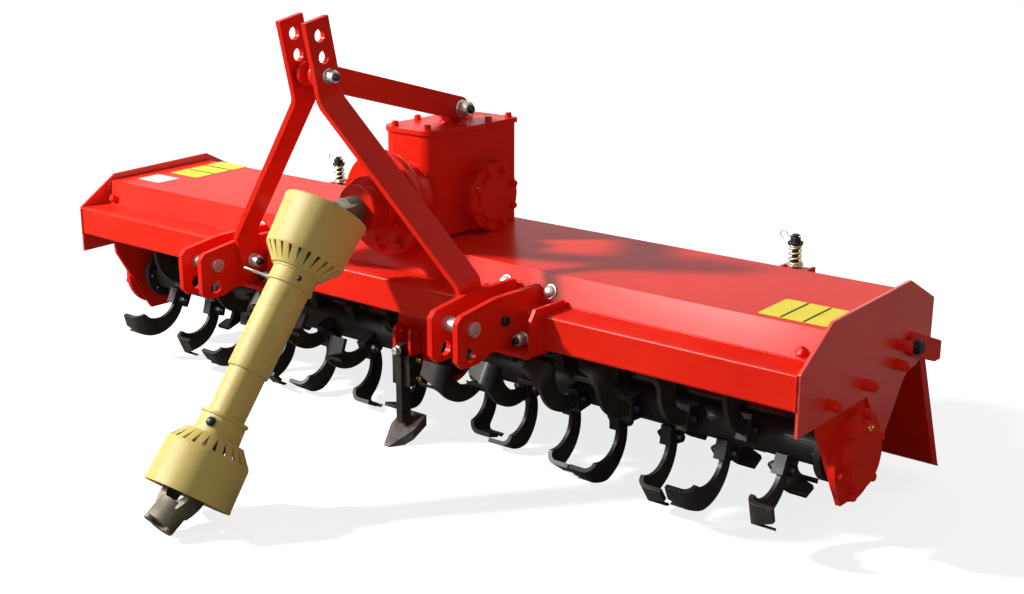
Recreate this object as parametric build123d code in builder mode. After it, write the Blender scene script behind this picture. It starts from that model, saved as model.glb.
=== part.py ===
"""Rotary tiller for a three-point hitch: centre drive, two tined half rotors,
folded hood, hinged rear board, mast and a guarded driveline with two universal joints.

Frame: +X across the machine, -Y towards the tractor, +Z up, floor at z = 0, millimetres.
Left and right are as seen from the hitch side, so the right end is at +X.
"""
from build123d import *
from math import cos, sin, radians, degrees, atan2, hypot, sqrt
import os

os.makedirs("parts", exist_ok=True)

# ---------------------------------------------------------------- driving sizes
body_width = 2000.0        # over the outer faces of the end plates
beam_top = 390.0           # top of the front beam above the floor
beam_front = -34.9         # y of the beam's front face
slip = 0.3                 # gap between parts that move or seat on each other

# front beam, a square tube between the end plates
beam_depth, beam_height, beam_wall, beam_corner = 70.0, 68.0, 6.0, 6.0

# rotor
rotor_radius = 188.0
rotor_back = 212.0         # axis behind the beam's front face
rotor_z = rotor_radius     # the tips stand on the floor
rotor_y = beam_front + rotor_back

# sheet and plate thicknesses
hood_sheet, end_plate_t, bearing_plate_t, board_sheet = 4.0, 6.0, 10.0, 4.0

half = body_width / 2
end_inner = half - end_plate_t


def back(distance):
    """y of a point this far behind the beam's front face."""
    return beam_front + distance


def up(height):
    """z of a point this far above the beam's top."""
    return beam_top + height


def save(part, name):
    part.part.label = name
    export_step(part.part, f"parts/{name}.step")
    print(name, len(part.part.solids()), "solid(s)", round(part.part.volume / 1000.0, 1), "cm3")


# ---------------------------------------------------------------- front beam
with BuildPart() as front_beam:
    with BuildSketch(Plane.YZ.offset(-end_inner)):
        with Locations((back(beam_depth / 2), up(-beam_height / 2))):
            RectangleRounded(beam_depth, beam_height, beam_corner)
            RectangleRounded(beam_depth - 2 * beam_wall, beam_height - 2 * beam_wall,
                             beam_corner / 2, mode=Mode.SUBTRACT)
    extrude(amount=2 * end_inner)
save(front_beam, "front_beam")

# ---------------------------------------------------------------- gearbox sizes
case_half_width = 75.0             # upper case, across
case_front, case_rear = 122.0, 386.0
case_top = 274.0                   # above the beam's top
lid_thickness = 10.0
lower_half_width = 42.0
lower_radius = 80.0
lower_front, lower_rear = 128.0, 290.0
input_height = 140.0               # input axis above the beam's top
cross_shaft_back = 272.0

# ---------------------------------------------------------------- hood
# outside of the folded sheet: distance behind the beam's face, height above its top
ridge = (92.0, 54.0)
deck_rear = (390.0, 62.0)
slope_foot = (490.0, 14.0)
skirt_foot = (490.0, -52.0)
hood_line = [(beam_depth, 0.0), ridge, deck_rear, slope_foot, skirt_foot]
hood_half = end_inner - slip

with BuildPart() as hood:
    with BuildSketch(Plane.YZ.offset(-hood_half)):
        with BuildLine():
            Polyline([(back(y), up(z)) for y, z in hood_line])
            offset(amount=hood_sheet, side=Side.RIGHT, kind=Kind.INTERSECTION)
        make_face()
    extrude(amount=2 * hood_half)
    # opening for the lower gear case
    with BuildSketch(Plane.XY.offset(up(-60))):
        with Locations((0, back((lower_front + lower_rear) / 2))):
            Rectangle(2 * (lower_half_width + slip), lower_rear - lower_front + 2 * slip)
    extrude(amount=180, mode=Mode.SUBTRACT)
save(hood, "hood")

# ---------------------------------------------------------------- end plates and rotor bearings
# side outlines: (behind the beam's face, above its top), the bearing plate's behind the rotor axis
end_outline = [
    (0, 0), (0, -111), (245, -104), (318, -208), (388, -110), (404, -97), (444, -92),
    (496, -63), (498, 26), (395, 79), (104, 68),
]
bearing_outline = [(-130, -64), (-124, -132), (-30, -294), (30, -294), (124, -132), (130, -64)]
housing_radius, housing_flange_t = 85.0, 13.0
housing_cap_radius, housing_cap_reach = 62.0, 17.0
stub_radius, stub_depth = 25.0, 24.0
rotor_height = rotor_z - beam_top          # axis above the beam's top, below zero

with BuildPart() as end_plate_right:
    with BuildSketch(Plane.YZ.offset(end_inner)):
        with BuildLine():
            Polyline([(back(y), up(z)) for y, z in end_outline], close=True)
        make_face()
        with Locations((rotor_y, rotor_z)):
            Circle(housing_radius + 2, mode=Mode.SUBTRACT)
    extrude(amount=end_plate_t)
save(end_plate_right, "end_plate_right")

with BuildPart() as end_plate_left:
    add(mirror(end_plate_right.part, about=Plane.YZ, mode=Mode.PRIVATE))
save(end_plate_left, "end_plate_left")

with BuildPart() as bearing_plate_right:
    with BuildSketch(Plane.YZ.offset(end_inner - bearing_plate_t)):
        with BuildLine():
            Polyline([(rotor_y + y, up(z)) for y, z in bearing_outline], close=True)
        make_face()
        with Locations((rotor_y, rotor_z)):
            Circle(stub_radius + 8, mode=Mode.SUBTRACT)
    extrude(amount=bearing_plate_t)
save(bearing_plate_right, "bearing_plate_right")

with BuildPart() as bearing_plate_left:
    add(mirror(bearing_plate_right.part, about=Plane.YZ, mode=Mode.PRIVATE))
save(bearing_plate_left, "bearing_plate_left")

with BuildPart() as bearing_housing_right:
    with BuildSketch(Plane.YZ.offset(end_inner)):
        with Locations((rotor_y, rotor_z)):
            Circle(housing_radius)
    extrude(amount=housing_flange_t)
    with BuildSketch(Plane.YZ.offset(end_inner + housing_flange_t)):
        with Locations((rotor_y, rotor_z)):
            Circle(housing_cap_radius)
    extrude(amount=housing_cap_reach, taper=14)
    with BuildSketch(Plane.YZ.offset(end_inner)):
        with Locations((rotor_y, rotor_z)):
            Circle(stub_radius + slip)
    extrude(amount=stub_depth + slip, mode=Mode.SUBTRACT)
save(bearing_housing_right, "bearing_housing_right")

with BuildPart() as bearing_housing_left:
    add(mirror(bearing_housing_right.part, about=Plane.YZ, mode=Mode.PRIVATE))
save(bearing_housing_left, "bearing_housing_left")

# ---------------------------------------------------------------- gearbox
case_bottom = deck_rear[1] + slip
case_length = case_rear - case_front
case_mid = back((case_front + case_rear) / 2)
corner_front, corner_rear = 38.0, 10.0
boss_radius, boss_t = 64.0, 24.0
rib_count, rib_t, rib_reach = 6, 7.0, 78.0
cover_height = 132.0                        # cross shaft covers above the beam's top
cover_radius, cover_t = 72.0, 12.0
cover_cap_radius, cover_cap_t = 50.0, 4.0

with BuildPart() as gear_case:
    with BuildSketch(Plane.XY.offset(up(case_bottom))) as case_plan:
        with Locations((0, case_mid)):
            Rectangle(2 * case_half_width, case_length)
        fillet(case_plan.vertices().group_by(Axis.Y)[0], corner_front)
        fillet(case_plan.vertices().group_by(Axis.Y)[-1], corner_rear)
    extrude(amount=case_top - case_bottom)
    for side in (1, -1):
        with BuildSketch(Plane.YZ.offset(side * (case_half_width - 1))):
            with Locations((back(cross_shaft_back), up(cover_height))):
                Circle(boss_radius)
        extrude(amount=side * (boss_t + 1))
        # ribs round the boss
        with BuildSketch(Plane.YZ.offset(side * (case_half_width - 1))):
            with Locations((back(cross_shaft_back), up(cover_height))):
                with PolarLocations(rib_reach / 2, rib_count):
                    Rectangle(rib_reach, rib_t)
        extrude(amount=side * (boss_t - 5))
save(gear_case, "gear_case")

with BuildPart() as side_cover_right:
    with BuildSketch(Plane.YZ.offset(case_half_width + boss_t)):
        with Locations((back(cross_shaft_back), up(cover_height))):
            Circle(cover_radius)
    extrude(amount=cover_t)
    with BuildSketch(Plane.YZ.offset(case_half_width + boss_t + cover_t)):
        with Locations((back(cross_shaft_back), up(cover_height))):
            Circle(cover_cap_radius)
    extrude(amount=cover_cap_t)
save(side_cover_right, "side_cover_right")

with BuildPart() as side_cover_left:
    add(mirror(side_cover_right.part, about=Plane.YZ, mode=Mode.PRIVATE))
save(side_cover_left, "side_cover_left")

lid_overhang = 4.0
lug_half_width, lug_length, lug_back = 12.0, 60.0, 268.0
strut_rise = 38.0                  # rear pin above the case's flat top
strut_rear_height = case_top + strut_rise
strut_pin_radius = 10.0

with BuildPart() as gear_lid:
    with BuildSketch(Plane.XY.offset(up(case_top))) as lid_plan:
        with Locations((0, case_mid)):
            Rectangle(2 * (case_half_width + lid_overhang), case_length + 2 * lid_overhang)
        fillet(lid_plan.vertices().group_by(Axis.Y)[0], corner_front + lid_overhang)
        fillet(lid_plan.vertices().group_by(Axis.Y)[-1], corner_rear)
    extrude(amount=lid_thickness)
    with BuildSketch(Plane.YZ.offset(-lug_half_width)):
        with BuildLine():
            lug_top = strut_rear_height
            Polyline([
                (back(lug_back - lug_length / 2), up(case_top + lid_thickness / 2)),
                (back(lug_back - 22), up(lug_top)), (back(lug_back + 22), up(lug_top)),
                (back(lug_back + lug_length / 2), up(case_top + lid_thickness / 2)),
            ], close=True)
        make_face()
        with Locations((back(lug_back), up(lug_top))):
            Circle(22)
            Circle(strut_pin_radius + slip, mode=Mode.SUBTRACT)
    extrude(amount=2 * lug_half_width)
save(gear_lid, "gear_lid")

# stepped round housing on the front of the case: (front, rear) behind the beam's face, radius
front_steps = [(62.0, case_front, 76.0), (46.0, 62.0, 106.0)]
cap_steps = [(30.0, 46.0, 82.0), (4.0, 30.0, 62.0), (-20.0, 4.0, 42.0), (-26.0, -20.0, 50.0)]
shaft_radius, shaft_front = 17.5, -64.0


with BuildPart() as input_housing:
    for front, rear, radius in front_steps:
        with BuildSketch(Plane.XZ.offset(-back(rear))):
            with Locations((0, up(input_height))):
                Circle(radius)
        extrude(amount=rear - front)
save(input_housing, "input_housing")

with BuildPart() as input_cap:
    for front, rear, radius in cap_steps:
        with BuildSketch(Plane.XZ.offset(-back(rear))):
            with Locations((0, up(input_height))):
                Circle(radius)
        extrude(amount=rear - front)
    with BuildSketch(Plane.XZ.offset(-back(cap_steps[-1][0]))):
        with Locations((0, up(input_height))):
            Circle(shaft_radius + slip)
    extrude(amount=-30, mode=Mode.SUBTRACT)
save(input_cap, "input_cap")

with BuildPart() as drive_case:
    with BuildSketch(Plane.YZ.offset(-lower_half_width)):
        with Locations((rotor_y, rotor_z)):
            Circle(lower_radius)
        with BuildLine():
            Polyline([
                (rotor_y - lower_radius, rotor_z), (back(lower_front), up(case_bottom)),
                (back(lower_rear), up(case_bottom)), (rotor_y + lower_radius, rotor_z),
            ], close=True)
        make_face()
    extrude(amount=2 * lower_half_width)
    for side in (1, -1):
        with BuildSketch(Plane.YZ.offset(side * (lower_half_width - 14))):
            with Locations((rotor_y, rotor_z)):
                Circle(stub_radius + slip)
        extrude(amount=side * 20, mode=Mode.SUBTRACT)
save(drive_case, "drive_case")

# ---------------------------------------------------------------- ripper under the drive case
holder_gap, holder_t = 18.0, 8.0           # half gap between the two lugs, lug thickness
lug_eye, lug_front, lug_foot = -150.0, 96.0, -196.0
shank_half_width, shank_front, shank_rear, shank_top = 8.0, 84.0, 112.0, -172.0
clamp_half_width, clamp_rear, clamp_foot = 25.0, 134.0, -264.0
share_tip, share_wing, share_rear = 44.0, 92.0, 134.0    # behind the beam's face
share_half, share_nose, share_top, share_t = 33.0, 8.0, -336.0, 12.0
tip_height = -beam_top                      # the point stands on the floor

with BuildPart() as ripper_holder:
    for side in (1, -1):
        with BuildSketch(Plane.YZ.offset(side * holder_gap)):
            with BuildLine():
                Polyline([
                    (back(lug_front), up(lug_foot)), (back(lug_front), up(lug_eye)),
                    (back(lower_front) - slip, up(lug_eye)), (back(lower_front) - slip, up(lug_foot)),
                ], close=True)
            make_face()
            with Locations((back(lower_front - 16) - slip, up(lug_eye))):
                Circle(16)
                Circle(6, mode=Mode.SUBTRACT)
        extrude(amount=side * holder_t)
save(ripper_holder, "ripper_holder")

# flat shank in the clamp block that is bolted against the drive case
with BuildPart() as ripper_shank:
    with BuildSketch(Plane.YZ.offset(-clamp_half_width)):
        with BuildLine():
            Polyline([
                (back(shank_front + 8), up(lug_foot) - slip), (back(clamp_rear), up(lug_foot) - slip),
                (back(clamp_rear), up(clamp_foot)), (back(shank_front + 8), up(clamp_foot)),
            ], close=True)
        make_face()
        with Locations((rotor_y, rotor_z)):
            Circle(lower_radius + slip, mode=Mode.SUBTRACT)
    extrude(amount=2 * clamp_half_width)
    with BuildSketch(Plane.YZ.offset(-shank_half_width)):
        with BuildLine():
            Polyline([
                (back(shank_front), up(shank_top)), (back(shank_rear), up(shank_top)),
                (back(shank_rear), up(share_top - 12)), (back(shank_front), up(share_top - 12)),
            ], close=True)
        make_face()
    extrude(amount=2 * shank_half_width)
save(ripper_shank, "ripper_shank")

# pointed share: a sloping plate, pointed in plan, with a socket for the shank
with BuildPart() as ripper_point:
    with BuildSketch(Plane.YZ.offset(-share_half)):
        with BuildLine():
            Polyline([
                (back(share_tip), up(tip_height)), (back(share_tip), up(tip_height + 4)),
                (back(share_rear), up(share_top)), (back(share_rear), up(share_top - 2 * share_t)),
                (back(share_tip + 30), up(tip_height)),
            ], close=True)
        make_face()
    extrude(amount=2 * share_half)
    with BuildSketch(Plane.XY.offset(up(tip_height))):
        with BuildLine():
            Polyline([
                (-share_nose, back(share_tip)), (share_nose, back(share_tip)),
                (share_half, back(share_wing)), (share_half, back(share_rear)),
                (-share_half, back(share_rear)), (-share_half, back(share_wing)),
            ], close=True)
        make_face()
    extrude(amount=share_top - tip_height, mode=Mode.INTERSECT)
    add(ripper_shank.part, mode=Mode.SUBTRACT)
save(ripper_point, "ripper_point")

# ---------------------------------------------------------------- half rotors
tube_radius = 38.0
rotor_start = 60.0                          # inner end of the tube from the machine's middle
bearing_gap = 44.0                          # outer end of the tube from the end plate
rotor_end = end_inner - bearing_gap
inner_flange_r, inner_flange_t = 56.0, 12.0
outer_flange_r, outer_flange_t = 60.0, 14.0
stations, first_station, last_margin = 13, 104.0, 74.0
last_station = rotor_end - last_margin
holder_width, holder_length, holder_height = 24.0, 50.0, 72.0
blade_t, blade_root, shank_half = 9.0, 44.0, 14.0
tip_reach, tip_bend = 57.0, 24.0            # reach of the bent tip across, outside radius of the bend
tip_turn = 50.0                             # angle between the blade's root and the way its tip faces
tip_lead, tip_trail = -77.0, -33.0          # ends of the tip's face along the way it travels
tip_face = sqrt(rotor_radius ** 2 - tip_lead ** 2)
tip_cut, tip_slant, tip_corner = 26.0, 38.0, 14.0
back_straight, front_straight, blank_depth = 78.0, 70.0, 100.0
last_direction = 154.0                      # the outermost blade, turned from +Z towards -Y
helix_turn = 95.0                           # turn from one station to the next one inwards
station_pitch = (last_station - first_station) / (stations - 1)


def tip_point(side, out):
    """Point of the blade's outline, from its places along the tip's face and out from the axis."""
    facing = radians(tip_turn)
    return (side * cos(facing) + out * sin(facing), out * cos(facing) - side * sin(facing))


# one blade, root up: a curved cutting blade that lags towards +Y, its tip bent over to +X
tip_way = Vector(0, sin(radians(tip_turn)), cos(radians(tip_turn)))
with BuildPart() as blade:
    with BuildSketch(Plane.YZ):
        with BuildLine():
            lead, trail = tip_point(tip_lead, tip_face), tip_point(tip_trail, tip_face)
            heel = tip_point(tip_trail, tip_face - tip_cut)
            Line((shank_half, blade_root), (-shank_half, blade_root))
            Line((-shank_half, blade_root), (-shank_half, back_straight))
            TangentArc((-shank_half, back_straight), lead, tangent=(0, 1))
            Line(lead, trail)
            Line(trail, heel)
            TangentArc((shank_half, front_straight), heel, tangent=(0, 1))
            Line((shank_half, front_straight), (shank_half, blade_root))
        make_face()
    extrude(amount=tip_reach)
    # bent plate, seen along the bend
    with BuildSketch(Plane(origin=(0, 0, 0), x_dir=(1, 0, 0), z_dir=(0, -tip_way.Z, tip_way.Y))):
        with BuildLine():
            inside = tip_bend - blade_t
            Polyline([(blade_t, tip_face - tip_bend), (blade_t, -blank_depth), (0, -blank_depth),
                      (0, tip_face - tip_bend)])
            RadiusArc((0, tip_face - tip_bend), (tip_bend, tip_face), tip_bend)
            Polyline([(tip_bend, tip_face), (tip_reach, tip_face), (tip_reach, tip_face - blade_t),
                      (tip_bend, tip_face - blade_t)])
            RadiusArc((blade_t, tip_face - tip_bend), (tip_bend, tip_face - blade_t), inside)
        make_face()
    extrude(amount=300, both=True, mode=Mode.INTERSECT)
    # the tip's leading corner runs back
    with BuildSketch(Plane(origin=tip_way * (tip_face - 20), x_dir=(1, 0, 0), z_dir=tip_way)):
        with BuildLine():
            Polyline([(tip_reach - tip_slant, tip_lead - 1), (tip_reach + 1, tip_lead - 1),
                      (tip_reach + 1, tip_lead + tip_corner)], close=True)
        make_face()
    extrude(amount=40, mode=Mode.SUBTRACT)

# (distance from the middle, direction of the first blade, sides that its tip and its partner's bend to)
station_table = []
for index in range(stations):
    direction = last_direction + (stations - 1 - index) * helix_turn
    bend = -1 if index % 4 == 1 else 1
    station_table.append((first_station + index * station_pitch, direction, bend, -bend if index else 1))

with BuildPart() as rotor_right:
    with BuildSketch(Plane.YZ.offset(rotor_start)):
        with Locations((rotor_y, rotor_z)):
            Circle(tube_radius)
    extrude(amount=rotor_end - rotor_start)
    for start, length, radius in (
        (rotor_start - inner_flange_t, inner_flange_t, inner_flange_r),
        (rotor_start - inner_flange_t - stub_depth / 2, stub_depth / 2, stub_radius),
        (rotor_end, outer_flange_t, outer_flange_r),
        (rotor_end + outer_flange_t, end_inner + stub_depth - rotor_end - outer_flange_t, stub_radius),
    ):
        with BuildSketch(Plane.YZ.offset(start)):
            with Locations((rotor_y, rotor_z)):
                Circle(radius)
        extrude(amount=length)
    for distance, direction, bend, partner in station_table:
        for turn in (direction, direction + 180):
            with Locations(Location((distance, rotor_y, rotor_z), (turn, 0, 0))):
                with Locations((0, 0, (tube_radius - 4 + holder_height) / 2)):
                    Box(holder_width, holder_length, holder_height - tube_radius + 4)
                with Locations((0, 0, holder_height)):
                    Box(blade_t + slip, 2 * (shank_half + slip), 2 * (holder_height - blade_root + slip),
                        mode=Mode.SUBTRACT)
save(rotor_right, "rotor_right")

with BuildPart() as tines_right:
    for distance, direction, bend, partner in station_table:
        for turn, side in ((direction, bend), (direction + 180, partner)):
            one = blade.part if side > 0 else mirror(blade.part, about=Plane.YZ, mode=Mode.PRIVATE)
            with Locations(Location((distance - side * blade_t / 2, rotor_y, rotor_z), (turn, 0, 0))):
                add(one)
save(tines_right, "tines_right")

for source, name in ((rotor_right, "rotor_left"), (tines_right, "tines_left")):
    with BuildPart() as mirrored:
        add(mirror(source.part, about=Plane.YZ, mode=Mode.PRIVATE))
    save(mirrored, name)

# ---------------------------------------------------------------- lower hitch brackets
hitch_half = 361.0                         # middle of each bracket from the machine's middle
ear_pitch, ear_t = 63.0, 12.0
pin_back, pin_up, pin_radius = -127.0, -10.0, 14.0
hole_back, hole_up = -131.0, -57.0
ear_outline = [
    (-168, -66), (-168, 8), (-156, 20), (-60, 34), (70, 34), (76, 26), (68, 4), (68, 0), (0, 0),
    (0, -beam_height), (-78, -beam_height), (-112, -80), (-154, -80),
]
foot_half, foot_t, foot_front, foot_rear = 98.0, 8.0, -46.0, 60.0
cheek_t = 8.0

cheek_reach, cheek_slope, cheek_back, cheek_rise, cheek_drop = 32.0, 14.0, 68.0, 14.0, 6.0

with BuildPart() as hitch_bracket_right:
    for side in (1, -1):
        with BuildSketch(Plane.YZ.offset(hitch_half + side * ear_pitch / 2 - ear_t / 2)):
            with BuildLine():
                Polyline([(back(y), up(z)) for y, z in ear_outline], close=True)
            make_face()
            with Locations((back(pin_back), up(pin_up)), (back(hole_back), up(hole_up))):
                Circle(pin_radius + slip, mode=Mode.SUBTRACT)
        extrude(amount=ear_t)
    with BuildSketch(Plane.XY.offset(up(-beam_height - foot_t))):
        with Locations((hitch_half, back((foot_front + foot_rear) / 2))):
            Rectangle(2 * foot_half, foot_rear - foot_front)
    extrude(amount=foot_t)
    for side in (1, -1):
        with BuildSketch(Plane.YZ.offset(hitch_half + side * (foot_half - cheek_t / 2) - cheek_t / 2)):
            with BuildLine():
                Polyline([
                    (back(-cheek_reach), up(-beam_height - 1)), (back(-cheek_reach), up(-cheek_drop)),
                    (back(cheek_slope - cheek_reach), up(cheek_rise)), (back(cheek_back), up(cheek_rise)),
                    (back(cheek_back), up(0)), (back(0), up(0)), (back(0), up(-beam_height - 1)),
                ], close=True)
            make_face()
        extrude(amount=cheek_t)
save(hitch_bracket_right, "hitch_bracket_right")

ear_outer = ear_pitch / 2 + ear_t / 2
with BuildPart() as hitch_pin_right:
    with BuildSketch(Plane.YZ.offset(hitch_half - ear_outer - 8)):
        with Locations((back(pin_back), up(pin_up))):
            Circle(pin_radius)
    extrude(amount=2 * ear_outer + 16)

with BuildPart() as hitch_bracket_left:
    add(mirror(hitch_bracket_right.part, about=Plane.YZ, mode=Mode.PRIVATE))
save(hitch_bracket_left, "hitch_bracket_left")

with BuildPart() as hitch_pins:
    add(hitch_pin_right.part)
    add(mirror(hitch_pin_right.part, about=Plane.YZ, mode=Mode.PRIVATE))
save(hitch_pins, "hitch_pins")

# ---------------------------------------------------------------- mast
bar_width, bar_t = 60.0, 12.0
lean = 12.2                                 # degrees, the mast leans towards the tractor
mast_foot_back, mast_foot_up = -36.0, -15.0
bar_foot, bar_bend_low, bar_bend_high, bar_top = -30.0, 66.0, 399.0, 555.0
mast_half = 35.0                            # middle of each bar from the machine's middle, at the top
top_holes, top_hole_radius = (524.0, 482.0), 12.75
strut_bolt = 445.0
mast_plane = Plane(origin=(0, back(mast_foot_back), up(mast_foot_up)), x_dir=(1, 0, 0),
                   z_dir=(0, -cos(radians(lean)), -sin(radians(lean))))
foot_outer = hitch_half - ear_outer         # the bar's foot lies on the inner ear

with BuildPart() as mast_bar_right:
    with BuildSketch(mast_plane.offset(-bar_width / 2)):
        with BuildLine():
            FilletPolyline([
                (foot_outer, bar_foot), (foot_outer, bar_bend_low),
                (mast_half + bar_t / 2, bar_bend_high), (mast_half + bar_t / 2, bar_top),
            ], radius=24)
            offset(amount=bar_t, side=Side.LEFT)
        make_face()
    extrude(amount=bar_width)
    for height in top_holes:
        with Locations(mast_plane * Location((mast_half, height, 0), (0, 90, 0))):
            Hole(top_hole_radius, depth=40)
save(mast_bar_right, "mast_bar_right")

with BuildPart() as mast_bar_left:
    add(mirror(mast_bar_right.part, about=Plane.YZ, mode=Mode.PRIVATE))
save(mast_bar_left, "mast_bar_left")

# two strut plates from the mast to the lug on the gearbox lid
strut_front_y = back(mast_foot_back) - strut_bolt * sin(radians(lean))
strut_front_z = up(mast_foot_up) + strut_bolt * cos(radians(lean))
strut_rear_y, strut_rear_z = back(lug_back), up(strut_rear_height)
strut_t, strut_width = 8.0, 48.0
strut_length = hypot(strut_rear_y - strut_front_y, strut_rear_z - strut_front_z)
strut_slope = degrees(atan2(strut_rear_z - strut_front_z, strut_rear_y - strut_front_y))
strut_inner = lug_half_width + slip

with BuildPart() as top_strut:
    for side in (1, -1):
        with BuildSketch(Plane.YZ.offset(side * strut_inner)):
            with Locations(Location((strut_front_y, strut_front_z, 0), (0, 0, strut_slope))):
                with Locations((strut_length / 2, 0)):
                    SlotCenterToCenter(strut_length, strut_width)
                with Locations((0, 0), (strut_length, 0)):
                    Circle(strut_pin_radius + slip, mode=Mode.SUBTRACT)
        extrude(amount=side * strut_t)
save(top_strut, "top_strut")

bar_inner = mast_half - bar_t / 2
with BuildPart() as strut_pin_front:
    with BuildSketch(Plane.YZ.offset(-bar_inner)):
        with Locations((strut_front_y, strut_front_z)):
            Circle(strut_pin_radius)
    extrude(amount=2 * bar_inner)
    for side in (1, -1):
        with BuildSketch(Plane.YZ.offset(side * (strut_inner + strut_t + slip))):
            with Locations((strut_front_y, strut_front_z)):
                Circle(strut_pin_radius + 5)
        extrude(amount=side * (bar_inner - strut_inner - strut_t - slip))
save(strut_pin_front, "strut_pin_front")

with BuildPart() as strut_pin_rear:
    with BuildSketch(Plane.YZ.offset(-strut_inner - strut_t)):
        with Locations((strut_rear_y, strut_rear_z)):
            Circle(strut_pin_radius)
    extrude(amount=2 * (strut_inner + strut_t))
    for side in (1, -1):
        with BuildSketch(Plane.YZ.offset(side * (strut_inner + strut_t))):
            with Locations((strut_rear_y, strut_rear_z)):
                RegularPolygon(16, 6)
        extrude(amount=side * 10)
save(strut_pin_rear, "strut_pin_rear")

# ---------------------------------------------------------------- rear board and its spring rods
pivot_back, pivot_up = 415.0, -50.0
board_top, board_foot = (500.0, -85.0), (608.0, -350.0)
lug_t, lug_gap = 8.0, 2.0
board_half = half + lug_gap + lug_t
board_side = end_inner - 18.0                # the board itself hangs between the end plates
board_lip = (636.0, -364.0)
lug_rear, lug_foot_up = 524.0, -100.0
rod_side, rod_radius = 668.0, 7.0
rod_eye, rod_top = (578.0, -200.0), (560.0, 84.0)
eye_radius, eye_half, eye_pin, ear_sheet = 14.0, 8.0, 6.0, 6.0
lug_front_top, lug_rear_top = (396.0, -26.0), (412.0, -22.0)
lug_rear_foot, lug_front_foot = (404.0, -66.0), (392.0, -56.0)
lug_shoulder, strap_lap = -64.0, 4.0
ear_front, ear_foot = (540.0, -178.0), (558.0, -224.0)
ear_high, ear_low = -186.0, -214.0
pivot_radius, pivot_washer, pivot_washer_t, pivot_hex, pivot_hex_t = 8.0, 15.0, 2.5, 13.0, 9.0

with BuildPart() as rear_board:
    with BuildSketch(Plane.YZ.offset(-board_side)):
        with BuildLine():
            Polyline([(back(y), up(z)) for y, z in (board_top, board_foot, board_lip)])
            offset(amount=board_sheet, side=Side.LEFT, kind=Kind.INTERSECTION)
        make_face()
    extrude(amount=2 * board_side)
    for side in (1, -1):
        # flange down the board's end
        with BuildSketch(Plane.YZ.offset(side * board_side)):
            with BuildLine():
                Polyline([(back(y), up(z)) for y, z in
                          [board_top, (lug_rear, board_top[1]), board_lip, board_foot]], close=True)
            make_face()
        extrude(amount=-side * lug_t)
        # lug outside the end plate, and the strap that joins it to the board
        with BuildSketch(Plane.YZ.offset(side * (half + lug_gap))):
            with BuildLine():
                Polyline([(back(y), up(z)) for y, z in
                          [lug_front_top, lug_rear_top, (lug_rear, lug_shoulder), (lug_rear, lug_foot_up),
                           (board_top[0], lug_foot_up), lug_rear_foot, lug_front_foot]], close=True)
            make_face()
            with Locations((back(pivot_back), up(pivot_up))):
                Circle(pivot_radius + slip, mode=Mode.SUBTRACT)
        extrude(amount=side * lug_t)
        with BuildSketch(Plane.YZ.offset(side * (board_side - lug_t))):
            with BuildLine():
                Polyline([(back(y), up(z)) for y, z in
                          [(board_top[0] + strap_lap, board_top[1]), (lug_rear, board_top[1]),
                           (lug_rear, lug_foot_up), (board_top[0] + strap_lap, lug_foot_up)]], close=True)
            make_face()
        extrude(amount=side * (board_half - board_side + lug_t))
    # ears that carry the eyes of the two spring rods
    for middle in (rod_side, -rod_side):
        for side in (1, -1):
            with BuildSketch(Plane.YZ.offset(middle + side * (eye_half + slip))):
                with BuildLine():
                    Polyline([(back(y), up(z)) for y, z in
                              [ear_front, (rod_eye[0], ear_high), (rod_eye[0], ear_low), ear_foot]],
                             close=True)
                make_face()
                with Locations((back(rod_eye[0]), up(rod_eye[1]))):
                    Circle(eye_radius)
                    Circle(eye_pin + slip, mode=Mode.SUBTRACT)
            extrude(amount=side * ear_sheet)
save(rear_board, "rear_board")

with BuildPart() as board_pivot_right:
    for start, length, radius in (
        (half, lug_gap - slip, pivot_washer), (half, lug_gap + lug_t + 2 * slip, pivot_radius),
        (board_half + slip, pivot_washer_t, pivot_washer),
    ):
        with BuildSketch(Plane.YZ.offset(start)):
            with Locations((back(pivot_back), up(pivot_up))):
                Circle(radius)
        extrude(amount=length)
    with BuildSketch(Plane.YZ.offset(board_half + slip + pivot_washer_t)):
        with Locations((back(pivot_back), up(pivot_up))):
            RegularPolygon(pivot_hex, 6)
    extrude(amount=pivot_hex_t)

# rods that guide the board: an eye on the board, a spring on top of a slotted bracket
rod_length = hypot(rod_top[0] - rod_eye[0], rod_top[1] - rod_eye[1])
rod_frame = Plane(origin=(rod_side, back(rod_eye[0]), up(rod_eye[1])), x_dir=(1, 0, 0),
                  z_dir=(0, rod_top[0] - rod_eye[0], rod_top[1] - rod_eye[1]))
bracket_rear, bracket_up, bracket_t, bracket_half = 592.0, 4.0, 6.0, 32.0
cheek_foot, cheek_top, cheek_tip = -20.0, 14.0, 2.0
slot_front, slot_rear, slot_play = 540.0, 583.0, 4.0
spring_radius, washer_t, washer_lap, nut_t, nut_radius = 14.0, 4.0, 2.0, 10.0, 12.0
nut_seat, eye_pin_end = 16.0, 4.0            # from the rod's top end; past the ears
spring_foot = 222.0                          # along the rod, from the eye

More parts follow.
